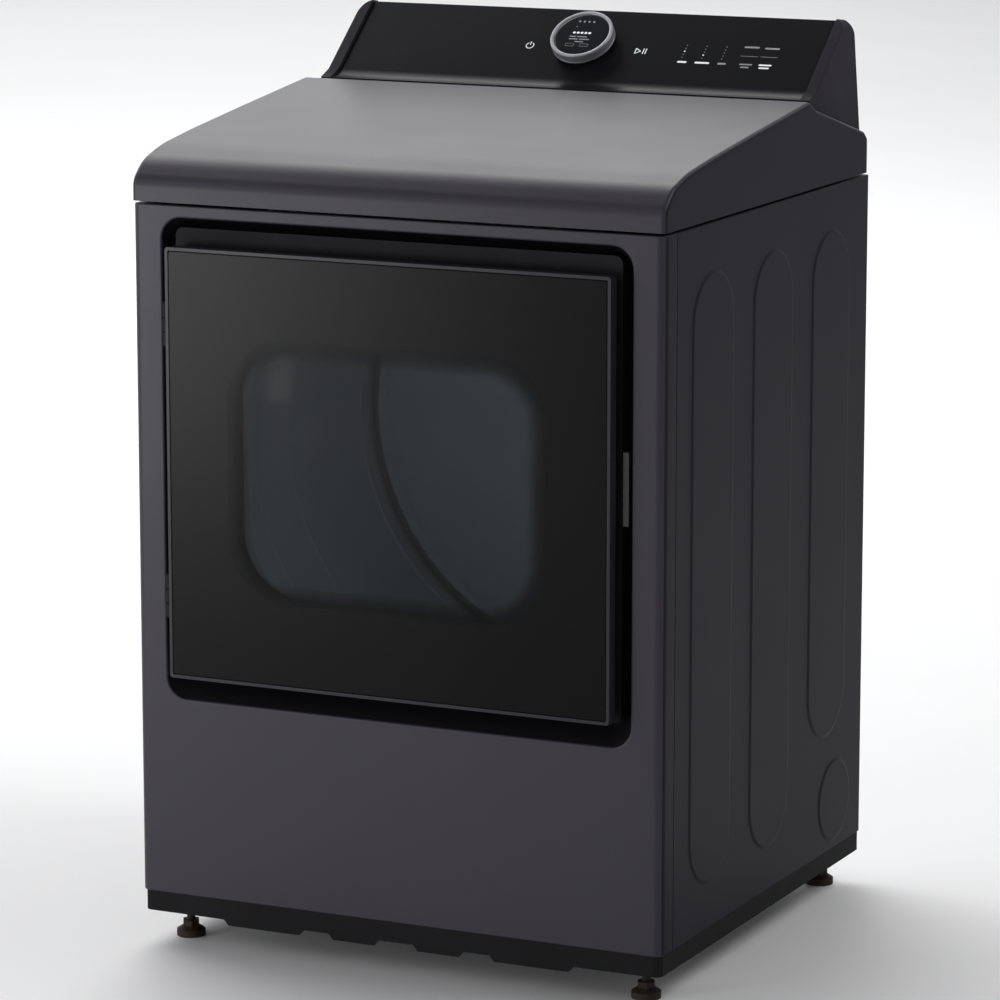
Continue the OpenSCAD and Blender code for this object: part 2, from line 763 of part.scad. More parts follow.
// Catch on the recess floor that holds the carrier's tongue
module carrier_catch() {
    color(white_plastic) at_front() difference() {
        box(tongue_x - tongue_w / 2 - 5, tongue_x + tongue_w / 2 + 5, recess_d + sheet_t,
            recess_d + sheet_t + 14, door_mid_z - 16, door_mid_z + 16);
        box(tongue_x - tongue_w / 2 - 2, tongue_x + tongue_w / 2 + 2, recess_d,
            recess_d + sheet_t + 10, door_mid_z - 11, door_mid_z + 11);
    }
}

// Catch on the carrier's back that holds the door's tongue
module door_catch() {
    color(white_plastic) at_front() difference() {
        xz(carrier_front_y + 7, carrier_back_y)
            translate([0, latch_z]) square([latch_w, latch_h], center = true);
        xz(carrier_front_y + 6, carrier_back_y - 3)
            translate([0, latch_z]) square([latch_w - 16, latch_h - 4], center = true);
    }
}

// ---- drum ----

module at_drum() { translate([0, 0, drum_z]) children(); }

module drum() {
    color(stainless) at_front() at_drum() difference() {
        rod_y(drum_r, drum_front_y, drum_back_y);
        rod_y(drum_in_r, drum_front_y - 1, drum_back_y + 1);
    }
}

module drum_baffles() {
    b0 = drum_front_y + felt_len + 14;
    b1 = drum_back_y - felt_len - 14;
    r0 = drum_in_r - 0.4;
    color(white_plastic) at_front() at_drum() for (a = [135, 255, 15]) rotate([0, -a, 0])
        difference() {
            xz(b0, b1) baffle_shape(r0, 0);
            xz(b0 + 3, b1 - 3) baffle_shape(r0, 3);
        }
}

// Section of a baffle that stands inwards from radius r0, drawn inwards by t
module baffle_shape(r0, t) {
    intersection() {
        circle(drum_in_r);
        union() {
            polygon([[r0 - 10, -34 + t], [r0 + 5, -34 + t], [r0 + 5, 34 - t], [r0 - 10, 34 - t],
                     [r0 - baffle_h + 8, 10 - t], [r0 - baffle_h + 8, -10 + t]]);
            translate([r0 - baffle_h + 10, 0]) circle(10 - t);
        }
    }
}

bulkhead_rim = 25;
bulkhead_arm_h = 240;

// A round plate that reaches past the rollers, with two arms that meet the side panels
module bulkhead_plate(y0, y1) {
    xz(y0, y1) {
        intersection() {
            circle(drum_r + roller_r + bulkhead_rim);
            translate([-in_w, -drum_z]) square([2 * in_w, panel_high_z - 4]);
        }
        square([2 * in_w, bulkhead_arm_h], center = true);
    }
}

module roller_spots() {
    for (s = [-1, 1]) translate([s * roller_cx, 0, roller_cz]) children();
}

module front_bulkhead() {
    slot_w = filter_w + 2 * 6;
    color(zinc) at_front() difference() {
        union() {
            at_drum() bulkhead_plate(bulk_front_y - bulk_t, bulk_front_y);
            at_drum() tube_y(flange_r, flange_r - bulk_t, bulk_front_y - bulk_t, drum_front_y + felt_len);
            difference() {
                xz(recess_d + sheet_t, bulk_front_y) mouth_shape(bulk_t + 1);
                xz(recess_d, bulk_front_y + 1) mouth_shape(1);
            }
            roller_spots() rod_y(roller_boss_r, bulk_front_y - bulk_t - 2, bulk_front_y);
        }
        xz(bulk_front_y - 5, bulk_front_y + 5) mouth_shape(1);
        roller_spots() rod_y(axle_r + run_gap, bulk_front_y - 10, bulk_front_y + 10);
        box(-slot_w / 2, slot_w / 2, recess_d, bulk_front_y - 4, mouth_low_z - 20, mouth_low_z + 20);
    }
}

// Hot air inlet: a grille in the rear bulkhead, covered by the heater's upright duct
grille_r = 4;
grille_cols = 5;
grille_rows = 4;
grille_pitch_z = 22;
grille_z = drum_z - 147;
duct_left_x = 35;
duct_right_x = roller_cx - roller_boss_r - 15;
grille_pitch_x = (duct_right_x - duct_left_x) / (grille_cols + 1);

module rear_bulkhead() {
    color(zinc) at_front() difference() {
        union() {
            at_drum() bulkhead_plate(bulk_back_y, bulk_back_y + bulk_t);
            at_drum() tube_y(flange_r, flange_r - bulk_t, drum_back_y - felt_len, bulk_back_y + bulk_t);
            roller_spots() rod_y(roller_boss_r, bulk_back_y, bulk_back_y + bulk_t + 2);
        }
        roller_spots() rod_y(axle_r + run_gap, bulk_back_y - 10, bulk_back_y + 10);
        for (i = [1:grille_cols], k = [0:grille_rows - 1])
            translate([duct_left_x + i * grille_pitch_x, 0, grille_z + k * grille_pitch_z])
                rod_y(grille_r, bulk_back_y - 1, bulk_back_y + 3);
    }
}

module front_felt_seal() {
    color([0.75, 0.73, 0.68]) at_front() at_drum()
        tube_y(flange_r + felt_t, flange_r, bulk_front_y + 0.2, drum_front_y + felt_len);
}

module rear_felt_seal() {
    color([0.75, 0.73, 0.68]) at_front() at_drum()
        tube_y(flange_r + felt_t, flange_r, drum_back_y - felt_len, bulk_back_y - 0.2);
}

module drum_roller(side, y0) {
    color([0.15, 0.15, 0.15]) at_front() translate([side * roller_cx, 0, roller_cz]) difference() {
        rod_y(roller_r, y0, y0 + roller_w);
        rod_y(axle_r + run_gap, y0 - 1, y0 + roller_w + 1);
        for (e = [-1, y0 + roller_w - 5])
            tube_y(roller_r - 8, axle_r + 6, e < 0 ? y0 - 1 : e, e < 0 ? y0 + 5 : y0 + roller_w + 1);
    }
}

module roller_front_left() { drum_roller(-1, roller_front_cy); }

module roller_front_right() { drum_roller(1, roller_front_cy); }

module roller_rear_left() { drum_roller(-1, roller_back_cy); }

module roller_rear_right() { drum_roller(1, roller_back_cy); }

module roller_axles() {
    color(zinc) at_front() roller_spots() {
        rod_y(axle_r, bulk_front_y - bulk_t - 3, roller_front_cy + roller_w + 3);
        rod_y(axle_r + 2.5, roller_front_cy + roller_w + 0.6, roller_front_cy + roller_w + 2);
        rod_y(axle_r, roller_back_cy - 3, bulk_back_y + bulk_t + 3);
        rod_y(axle_r + 2.5, roller_back_cy - 2, roller_back_cy - 0.6);
    }
}

// ---- drive ----

// The belt's circles in (x, z): centre, radius, and +1 or -1 for the side it wraps
belt_wheels = [
    [[0, drum_z], belt_r, 1],
    [[motor_x, motor_z], pulley_r + belt_gap, 1],
    [[idler_x, idler_z], idler_r + belt_gap, -1]
];

function unit(a) = [cos(a), sin(a)];

belt_step = 4;

// Direction of the straight run from wheel p to wheel q
function run_angle(p, q) = let (d = q[0] - p[0])
    atan2(d[1], d[0]) - asin((q[2] * q[1] - p[2] * p[1]) / norm(d));

// Centre-line radius is used for the straight runs, so that both faces of the belt meet them
function mid_wheel(w) = [w[0], w[1] + belt_t / 2, w[2]];

// Points round wheel w from angle a0 to a1, in the direction that the belt travels
function wrap_points(w, a0, a1, r) = let (
        last = w[2] > 0 ? (a1 < a0 ? a1 + 360 : a1) : (a1 > a0 ? a1 - 360 : a1),
        steps = max(2, ceil(abs(last - a0) / belt_step))
    ) [for (i = [0:steps]) w[0] + r * unit(a0 + (last - a0) * i / steps)];

// One face of the belt as a closed loop: o is 0 on its inner face and belt_t on its outer face
function belt_loop(o) = let (
        n = len(belt_wheels),
        runs = [for (i = [0:n - 1]) run_angle(mid_wheel(belt_wheels[i]), mid_wheel(belt_wheels[(i + 1) % n]))]
    ) [for (i = [0:n - 1]) let (w = belt_wheels[i])
        each wrap_points(w, runs[(i + n - 1) % n] - 90 * w[2], runs[i] - 90 * w[2],
                         w[2] > 0 ? w[1] + o : w[1] + belt_t - o)];

module drive_belt() {
    color(matte_black) at_front() xz(belt_y, belt_y + belt_w) difference() {
        polygon(belt_loop(belt_t));
        polygon(belt_loop(0));
    }
}

module motor_shaft() {
    color(stainless) at_front() translate([motor_x, 0, motor_z]) {
        rod_y(shaft_r, shaft_y0, shaft_y1);
        rod_y(pulley_r, belt_y - 2, belt_y + belt_w + 2);
        for (y = [belt_y - 4, belt_y + belt_w + 2]) rod_y(pulley_r + 3, y, y + 2);
    }
}

module motor_body() {
    color([0.35, 0.36, 0.38]) at_front() translate([motor_x, 0, motor_z]) difference() {
        union() {
            rod_y(motor_r, motor_y0 + 12, motor_y1 - 12);
            rod_y(motor_r - 10, motor_y0, motor_y1);
        }
        rod_y(shaft_r + run_gap, motor_y0 - 1, motor_y1 + 1);
    }
}

module motor_bracket() {
    color(zinc) at_front() difference() {
        union() {
            box(motor_x - 80, motor_x + 80, motor_y0 - 10, motor_y1 + 10, floor_top_z, floor_top_z + 3);
            for (y = [motor_y0 - 3, motor_y1])
                box(motor_x - 40, motor_x + 40, y, y + 3, floor_top_z + 1, motor_z);
        }
        translate([motor_x, 0, motor_z]) rod_y(shaft_r + 6, motor_y0 - 20, motor_y1 + 20);
    }
}

module idler_pulley() {
    color(white_plastic) at_front() translate([idler_x, 0, idler_z]) difference() {
        union() {
            rod_y(idler_r, belt_y - 2, belt_y + belt_w + 2);
            for (y = [belt_y - 4, belt_y + belt_w + 2]) rod_y(idler_r + 4, y, y + 2);
        }
        rod_y(axle_r + run_gap, belt_y - 5, belt_y + belt_w + 5);
    }
}

module idler_arm() {
    arm_y = belt_y + belt_w + 5;
    color(zinc) at_front() {
        translate([idler_x, 0, idler_z]) {
            rod_y(axle_r, belt_y - 6, arm_y + 2);
            rod_y(axle_r + 3, belt_y - 7.5, belt_y - 4.5);
        }
        box(idler_x - 9, idler_x + 9, arm_y, arm_y + 3, floor_top_z + 2, idler_z + 9);
        box(idler_x - 30, idler_x + 9, arm_y, arm_y + 34, floor_top_z, floor_top_z + 3);
    }
}

// ---- air path ----

outlet_x = exhaust_r + 4;
bead_w = 2;

module housing_solid(g, y0, y1) {
    translate([motor_x, 0, motor_z]) rod_y(housing_r - g, y0, y1);
    box(motor_x, outlet_x - g, y0, y1, floor_top_z + g, exhaust_z + exhaust_r + 2 - g);
}

module blower_housing() {
    color([0.62, 0.63, 0.64]) at_front() difference() {
        housing_solid(0, housing_y0, housing_y1);
        housing_solid(housing_t, housing_y0 + housing_t, housing_y1 - housing_t);
        translate([motor_x, 0, motor_z]) {
            rod_y(blower_inlet_r, housing_y0 - 1, housing_y0 + housing_t + 1);
            rod_y(shaft_r + 3, housing_y1 - housing_t - 1, housing_y1 + 1);
        }
        translate([0, 0, exhaust_z]) rod_y(exhaust_r - 2, housing_y1 - housing_t - 1, housing_y1 + 1);
    }
}

blade_count = 12;

module blower_wheel() {
    y0 = housing_y0 + 8;
    y1 = housing_y1 - 10;
    color([0.2, 0.2, 0.2]) at_front() translate([motor_x, 0, motor_z]) difference() {
        union() {
            rod_y(blower_r, y1 - 3, y1);
            tube_y(blower_r, blower_r - 14, y0, y0 + 3);
            rod_y(shaft_r + 6, y0 + 10, y1);
            for (i = [0:blade_count - 1]) rotate([0, i * 360 / blade_count, 0])
                box(blower_r - 22, blower_r - 1, y0 + 0, y1, -1, 1);
        }
        rod_y(shaft_r + run_gap / 2, y0 - 1, y1 + 1);
    }
}

module duct_space(g) {
    half = filter_w / 2 + 6;
    box(-half + g, half - g, duct_y0 + g, duct_y0 + 22 - g, filter_low_z - 30 + g, filter_high_z + 20);
    box(motor_x - 90 + g, half - g, duct_y0 + g, duct_y0 + 22 - g, 80 + g, filter_low_z - 20);
    translate([motor_x, 0, motor_z])
        rod_y(blower_inlet_r + 8 - g, duct_y0 + 10, housing_y0 + (g > 0 ? 1 : 0));
}

module lint_duct() {
    ledge_x = filter_w / 2 + 0.5;
    color([0.62, 0.63, 0.64]) at_front() {
        difference() {
            duct_space(0);
            duct_space(duct_t);
            box(-half_w, half_w, 0, 100, mouth_low_z - 6, mouth_z);
        }
        for (s = [-1, 1])
            box(min(s * ledge_x, s * (ledge_x + 5)), max(s * ledge_x, s * (ledge_x + 5)),
                duct_y0 + 1, duct_y0 + 21, filter_high_z - 16, filter_high_z - 9);
    }
}

module lint_filter() {
    color(white_plastic) at_front() {
        difference() {
            box(-filter_w / 2, filter_w / 2, filter_y, filter_y + filter_t, filter_low_z, filter_high_z - 9);
            for (s = [-1, 1])
                box(min(s * 4, s * (filter_w / 2 - 8)), max(s * 4, s * (filter_w / 2 - 8)),
                    filter_y + 2, filter_y + filter_t - 2, filter_low_z + 8, filter_high_z - 8);
            for (i = [-5.5:1:5.5], k = [0:5])
                box(i * 20 - 7, i * 20 + 7, filter_y - 1, filter_y + filter_t + 1,
                    filter_low_z + 12 + k * 20, filter_low_z + 26 + k * 20);
        }
        box(-filter_w / 2 - 3.5, filter_w / 2 + 3.5, filter_y - 1.5, filter_y + filter_t + 1.5,
            filter_high_z - 9, filter_high_z - 5);
        box(-45, 45, filter_y + 4, filter_y + filter_t - 4, filter_high_z - 5, filter_high_z + 12);
    }
}

module exhaust_pipe() {
    color(zinc) at_front() translate([0, 0, exhaust_z]) {
        tube_y(exhaust_r, exhaust_r - 0.8, housing_y1, cab_d + exhaust_proud);
        tube_y(exhaust_r + 3, exhaust_r - 0.4, cab_d, cab_d + bead_w);
    }
}

heater_x0 = 95;
heater_x1 = 225;
heater_y0 = 330;
heater_z0 = 70;
heater_z1 = 190;

module heater_space(g) {
    box(heater_x0 + g, heater_x1 - g, heater_y0 + (g > 0 ? -1 : 0), rear_y - 2 - g, heater_z0 + g, heater_z1 - g);
    box(duct_left_x + g, duct_right_x - g, bulk_back_y + bulk_t - (g > 0 ? 1 : 0), rear_y - 2 - g,
        exhaust_z + exhaust_r + 4 + g, grille_z + grille_rows * grille_pitch_z + 2 - g);
}

module heater_housing() {
    color(zinc) at_front() difference() {
        heater_space(0);
        heater_space(1);
    }
}

coil_turns = 5;

coil_r = 38;
coil_wire_r = 3;
coil_pitch = 32;

// Rings of heating wire on two rods that stand on the housing's rear wall
module heater_coil() {
    color([0.5, 0.45, 0.4]) at_front()
        translate([(heater_x0 + heater_x1) / 2, 0, (heater_z0 + heater_z1) / 2]) {
            for (i = [0:coil_turns - 1])
                translate([0, heater_y0 + 40 + i * coil_pitch, 0])
                    rotate([90, 0, 0]) rotate_extrude() translate([coil_r, 0]) circle(coil_wire_r);
            for (s = [-1, 1])
                translate([s * coil_r, 0, 0]) rod_y(coil_wire_r - 1, heater_y0 + 34, rear_y - 3);
        }
}

module terminal_block() {
    color([0.75, 0.70, 0.60]) at_front() {
        difference() {
            box(terminal_x - 36, terminal_x + 36, cab_d, cab_d + 12, terminal_z - 20, terminal_z + 20);
            for (i = [-1:1])
                box(terminal_x + i * 22 - 8, terminal_x + i * 22 + 8, cab_d + 6, cab_d + 13,
                    terminal_z - 14, terminal_z + 14);
        }
        for (i = [-1:1])
            translate([terminal_x + i * 22, 0, terminal_z]) rod_y(3, cab_d + 5, cab_d + 18);
    }
}

cord_hole_r = 15;

module terminal_cover() {
    color(zinc) at_front() difference() {
        box(terminal_x - 48, terminal_x + 48, cab_d, cab_d + 24, terminal_z - 52, terminal_z + 38);
        box(terminal_x - 47, terminal_x + 47, cab_d - 1, cab_d + 23, terminal_z - 51, terminal_z + 37);
        box(terminal_x - cord_hole_r, terminal_x + cord_hole_r, cab_d - 1, cab_d + 12,
            terminal_z - 53, terminal_z - 50);
    }
}

module steam_valve() {
    color(white_plastic) at_front() translate([valve_x, 0, valve_z]) {
        difference() {
            rod_y(valve_r, rear_y - 20, cab_d + 20);
            rod_y(valve_r - 3, cab_d - 4, cab_d + 21);
        }
        rod_y(valve_r + 6, cab_d, cab_d + 2);
        box(-16, 16, rear_y - 46, rear_y - 18, -14, 30);
    }
}

// ---- feet ----

module foot(side, y) {
    color([0.1, 0.08, 0.07]) at_front() translate([side * foot_x, y, 0]) {
        cylinder(r = foot_pad_d / 2, h = 8);
        translate([0, 0, 8]) cylinder(r1 = foot_pad_d / 2, r2 = 11, h = 4);
        translate([0, 0, 12]) cylinder(r = 11, h = 8, $fn = 6);
        cylinder(r = foot_stem_d / 2, h = foot_stem_high_z - 1);
    }
}

module foot_front_left() { foot(-1, foot_front_y); }

module foot_front_right() { foot(1, foot_front_y); }

module foot_rear_left() { foot(-1, foot_rear_y); }

module foot_rear_right() { foot(1, foot_rear_y); }

base_pan();
front_panel();
side_panel_left();
side_panel_right();
rear_panel();
top_cover();
control_fascia();
end_cap_left();
end_cap_right();
console_back();
control_board();
knob_collar();
knob_ring();
knob_display();
door_carrier();
side_grip();
door_frame();
door_glass();
door_inner_panel();
door_window();
door_seal();
swing_hinge_brackets();
swing_hinge_straps();
swing_hinge_pins();
drop_hinge_pins();
carrier_catch();
door_catch();
drum();
drum_baffles();
front_bulkhead();
rear_bulkhead();
front_felt_seal();
rear_felt_seal();
roller_front_left();
roller_front_right();
roller_rear_left();
roller_rear_right();
roller_axles();
drive_belt();
idler_pulley();
idler_arm();
motor_body();
motor_bracket();
motor_shaft();
blower_wheel();
blower_housing();
lint_duct();
lint_filter();
exhaust_pipe();
heater_housing();
heater_coil();
terminal_block();
terminal_cover();
steam_valve();
foot_front_left();
foot_front_right();
foot_rear_left();
foot_rear_right();
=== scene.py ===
import json
import math

import bmesh
import bpy
from mathutils import Matrix, Vector


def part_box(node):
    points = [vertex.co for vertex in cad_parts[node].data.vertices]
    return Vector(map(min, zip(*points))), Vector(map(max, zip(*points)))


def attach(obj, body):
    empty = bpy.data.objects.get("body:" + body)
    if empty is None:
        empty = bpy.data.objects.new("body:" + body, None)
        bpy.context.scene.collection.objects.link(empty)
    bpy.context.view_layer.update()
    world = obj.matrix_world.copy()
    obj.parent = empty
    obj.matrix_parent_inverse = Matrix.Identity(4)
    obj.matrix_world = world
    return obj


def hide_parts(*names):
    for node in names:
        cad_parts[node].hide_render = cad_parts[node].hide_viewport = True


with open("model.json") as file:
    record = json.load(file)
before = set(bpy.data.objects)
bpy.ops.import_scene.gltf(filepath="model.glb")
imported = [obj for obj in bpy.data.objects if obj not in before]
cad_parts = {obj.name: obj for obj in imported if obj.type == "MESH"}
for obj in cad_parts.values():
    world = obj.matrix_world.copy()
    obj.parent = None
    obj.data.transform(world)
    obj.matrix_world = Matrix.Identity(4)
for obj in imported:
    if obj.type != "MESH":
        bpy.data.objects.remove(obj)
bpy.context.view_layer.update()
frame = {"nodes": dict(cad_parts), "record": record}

# Metres throughout. +Z is up and the door faces -Y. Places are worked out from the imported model's boxes.
MM = 0.001
record = frame["record"]
knob_joint = next(j for j in record["behaviour"]["joints"] if j["name"] == "knob_turn")
body_of_node = {n: b for b, names in record["behaviour"]["bodies"].items() for n in names}
slot_of_node = {s["node"]: s["material_slot"] for s in record["subparts"]}

panel_lo, panel_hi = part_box("front_panel")
FRONT_Y = panel_lo.y
PANEL_LOW, PANEL_HIGH = panel_lo.z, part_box("rear_panel")[1].z
HALF_W = panel_hi.x
WRAP_Y = panel_hi.y


# ---------------- materials

class Paint:
    """A Principled material with helpers that add procedural detail in object space."""

    def __init__(self, name, color, rough=0.5, metallic=0.0, specular=0.5, coat=0.0, coat_rough=0.1):
        self.mat = bpy.data.materials.new(name)
        self.mat.use_nodes = True
        self.tree = self.mat.node_tree
        self.bsdf = self.tree.nodes["Principled BSDF"]
        self.bsdf.inputs["Base Color"].default_value = (*color, 1.0)
        self.bsdf.inputs["Roughness"].default_value = rough
        self.bsdf.inputs["Metallic"].default_value = metallic
        self.bsdf.inputs["Specular IOR Level"].default_value = specular
        self.bsdf.inputs["Coat Weight"].default_value = coat
        self.bsdf.inputs["Coat Roughness"].default_value = coat_rough
        self.color = color
        self.rough = rough
        self.height = None
        self.coord = self.node("ShaderNodeTexCoord").outputs["Object"]

    def node(self, kind, **values):
        made = self.tree.nodes.new(kind)
        for key, value in values.items():
            setattr(made, key, value)
        return made

    def link(self, a, b):
        self.tree.links.new(a, b)

    def math(self, op, a, b=0.0, clamp=False):
        made = self.node("ShaderNodeMath", operation=op, use_clamp=clamp)
        for socket, value in zip(made.inputs, (a, b)):
            if isinstance(value, (int, float)):
                socket.default_value = value
            else:
                self.link(value, socket)
        return made.outputs[0]

    def stretched(self, scale):
        mapping = self.node("ShaderNodeMapping")
        mapping.inputs["Scale"].default_value = scale
        self.link(self.coord, mapping.inputs["Vector"])
        return mapping.outputs["Vector"]

    def noise(self, scale, detail=3.0, stretch=None):
        made = self.node("ShaderNodeTexNoise")
        made.inputs["Scale"].default_value = scale
        made.inputs["Detail"].default_value = detail
        self.link(self.stretched(stretch) if stretch else self.coord, made.inputs["Vector"])
        return made.outputs["Fac"]

    def vary_color(self, fac, dark=0.9, light=1.1):
        ramp = self.node("ShaderNodeValToRGB")
        ramp.color_ramp.elements[0].position = 0.3
        ramp.color_ramp.elements[1].position = 0.7
        for element, k in zip(ramp.color_ramp.elements, (dark, light)):
            element.color = (*(min(1.0, c * k) for c in self.color), 1.0)
        self.link(fac, ramp.inputs["Fac"])
        self.link(ramp.outputs["Color"], self.bsdf.inputs["Base Color"])
        return self

    def vary_rough(self, fac, amount):
        low = self.math("MULTIPLY", self.math("SUBTRACT", fac, 0.5), 2.0 * amount)
        self.link(self.math("ADD", low, self.rough, clamp=True), self.bsdf.inputs["Roughness"])
        return self

    def bump(self, fac, strength, distance):
        made = self.node("ShaderNodeBump")
        made.inputs["Strength"].default_value = strength
        made.inputs["Distance"].default_value = distance
        self.link(fac, made.inputs["Height"])
        if self.height is not None:
            self.link(self.height, made.inputs["Normal"])
        self.height = made.outputs["Normal"]
        self.link(self.height, self.bsdf.inputs["Normal"])
        return self


def satin_paint(name, color, rough=0.36, metallic=0.35, specular=0.5):
    made = Paint(name, color, rough, metallic, specular)
    made.vary_color(made.noise(2.2, 4.0), 0.94, 1.06)
    made.vary_rough(made.noise(7.0, 4.0), 0.035)
    made.bump(made.noise(420.0, 2.0), 0.05, 0.0004)
    made.bump(made.noise(2600.0, 1.0), 0.06, 0.0001)
    return made.mat


def moulded_plastic(name, color, rough=0.55, grain=1500.0, strength=0.18, specular=0.4):
    made = Paint(name, color, rough, 0.0, specular=specular)
    made.vary_color(made.noise(9.0, 5.0), 0.88, 1.12)
    made.vary_rough(made.noise(30.0, 3.0), 0.06)
    made.bump(made.noise(grain, 3.0), strength, 0.0003)
    return made.mat


def gloss_plastic(name, color, rough=0.07, specular=0.35, coat=0.2):
    made = Paint(name, color, rough, 0.0, specular=specular, coat=coat, coat_rough=0.04)
    made.vary_color(made.noise(3.0, 2.0), 0.9, 1.1)
    made.vary_rough(made.noise(18.0, 5.0), 0.02)
    made.bump(made.noise(60.0, 1.0), 0.015, 0.0003)
    return made.mat


def brushed_metal(name, color, rough=0.32, along=(1.0, 1.0, 40.0), metallic=1.0):
    made = Paint(name, color, rough, metallic)
    grain = made.noise(220.0, 4.0, stretch=along)
    made.vary_color(made.noise(6.0, 3.0), 0.9, 1.08)
    made.vary_rough(grain, 0.09)
    made.bump(grain, 0.12, 0.0002)
    return made.mat


def spangled_zinc(name, color):
    made = Paint(name, color, 0.46, 0.85)
    cells = made.node("ShaderNodeTexVoronoi")
    cells.inputs["Scale"].default_value = 170.0
    made.link(made.coord, cells.inputs["Vector"])
    shade = made.node("ShaderNodeSeparateColor")
    made.link(cells.outputs["Color"], shade.inputs[0])
    made.vary_color(shade.outputs[0], 0.90, 1.06)
    made.vary_rough(shade.outputs[1], 0.07)
    made.bump(made.noise(300.0, 2.0), 0.05, 0.0002)
    return made.mat


def soft_rubber(name, color, rough=0.7):
    made = Paint(name, color, rough, 0.0, specular=0.3)
    made.vary_color(made.noise(40.0, 4.0), 0.8, 1.2)
    made.vary_rough(made.noise(90.0, 3.0), 0.08)
    made.bump(made.noise(900.0, 3.0), 0.3, 0.0004)
    return made.mat


def felt_cloth(name, color):
    made = Paint(name, color, 0.95, 0.0, specular=0.2)
    made.bsdf.inputs["Sheen Weight"].default_value = 0.5
    made.vary_color(made.noise(500.0, 5.0), 0.7, 1.25)
    made.bump(made.noise(700.0, 6.0), 0.8, 0.001)
    return made.mat


def printed(name, color, glow):
    made = Paint(name, color, 0.5)
    made.bsdf.inputs["Emission Color"].default_value = (*color, 1.0)
    made.bsdf.inputs["Emission Strength"].default_value = glow
    made.vary_color(made.noise(400.0, 2.0), 0.92, 1.05)
    made.vary_rough(made.noise(800.0, 2.0), 0.05)
    return made.mat


WINDOW_OPACITY = 0.42
PANE_OPACITY = 0.14


def window_distance(made, half_w, half_h, radius, centre_z):
    """Distance from the outline of the rounded window, negative inside, in object space."""
    split = made.node("ShaderNodeSeparateXYZ")
    made.link(made.coord, split.inputs[0])
    ax = made.math("ABSOLUTE", split.outputs["X"])
    az = made.math("ABSOLUTE", made.math("SUBTRACT", split.outputs["Z"], centre_z))
    qx = made.math("SUBTRACT", ax, half_w - radius)
    qz = made.math("SUBTRACT", az, half_h - radius)
    ox = made.math("MAXIMUM", qx, 0.0)
    oz = made.math("MAXIMUM", qz, 0.0)
    squares = made.math("ADD", made.math("MULTIPLY", ox, ox), made.math("MULTIPLY", oz, oz))
    outside = made.math("SQRT", squares)
    inside = made.math("MINIMUM", made.math("MAXIMUM", qx, qz), 0.0)
    return made.math("SUBTRACT", made.math("ADD", outside, inside), radius)


def door_glass_material(name, half_w, half_h, radius, centre_z, fade):
    """Black-backed glass with a clear tinted window whose edge fades out."""
    made = Paint(name, (0.003, 0.003, 0.0035), 0.28, 0.0, specular=0.085)
    made.vary_color(made.noise(4.0, 2.0), 0.85, 1.15)
    made.vary_rough(made.noise(5.0, 2.0), 0.006)
    distance = window_distance(made, half_w, half_h, radius, centre_z)
    mask = made.math("DIVIDE", made.math("ADD", distance, fade), fade, clamp=True)
    opacity = made.math("ADD", made.math("MULTIPLY", mask, 1.0 - WINDOW_OPACITY), WINDOW_OPACITY)
    made.link(opacity, made.bsdf.inputs["Alpha"])
    return made.mat


mats = {
    "paint_graphite": satin_paint("graphite_paint", (0.040, 0.037, 0.049), 0.40, 0.0, 0.2),
    "base_black": moulded_plastic("base_black", (0.013, 0.013, 0.014), 0.65, specular=0.06),
    "galvanised": spangled_zinc("galvanised_steel", (0.40, 0.41, 0.42)),
    "fascia_black": gloss_plastic("fascia_black", (0.009, 0.009, 0.012), 0.30, 0.05, 0.0),
    "console_black": moulded_plastic("console_black", (0.026, 0.024, 0.030), 0.5, 900.0, 0.12, 0.03),
    "circuit_board": moulded_plastic("circuit_board", (0.02, 0.12, 0.05), 0.5),
    "knob_metal": brushed_metal("knob_metal", (0.36, 0.36, 0.39), 0.42, (1.0, 1.0, 1.0), 0.45),
    "display_black": gloss_plastic("display_black", (0.010, 0.011, 0.014), 0.12),
    "carrier_grey": moulded_plastic("carrier_grey", (0.012, 0.012, 0.014), 0.55, specular=0.08),
    "grip_grey": moulded_plastic("grip_grey", (0.17, 0.17, 0.18), 0.42),
    "door_trim": satin_paint("door_trim", (0.022, 0.021, 0.026), 0.35, 0.0, 0.2),
    "hinge_black": satin_paint("hinge_black", (0.010, 0.010, 0.012), 0.45, 0.0, 0.1),
    "window_glass": gloss_plastic("window_glass", (0.02, 0.022, 0.024), 0.03),
    "seal_rubber": soft_rubber("seal_rubber", (0.05, 0.05, 0.052)),
    "stainless": brushed_metal("stainless", (0.56, 0.58, 0.60), 0.34, (1.0, 0.05, 1.0)),
    "white_plastic": moulded_plastic("white_plastic", (0.55, 0.56, 0.56), 0.45),
    "felt": felt_cloth("felt", (0.085, 0.088, 0.092)),
    "roller_rubber": soft_rubber("roller_rubber", (0.02, 0.02, 0.02)),
    "belt_rubber": soft_rubber("belt_rubber", (0.014, 0.014, 0.014)),
    "motor_grey": satin_paint("motor_grey", (0.10, 0.105, 0.115)),
    "duct_grey": moulded_plastic("duct_grey", (0.32, 0.33, 0.34), 0.5),
    "wheel_black": moulded_plastic("wheel_black", (0.03, 0.03, 0.03)),
    "heater_alloy": brushed_metal("heater_alloy", (0.22, 0.18, 0.15), 0.5),
    "terminal_tan": moulded_plastic("terminal_tan", (0.42, 0.35, 0.24)),
    "foot_dark": soft_rubber("foot_dark", (0.022, 0.015, 0.011)),
}
# Darker copy of the graphite paint, with less specular, for the cabinet's sides: painted shade, as the sides
# face away from the light.
side_shade_paint = satin_paint("graphite_side_painted_shade", (0.021, 0.0195, 0.0255), 0.42, 0.0, 0.03)
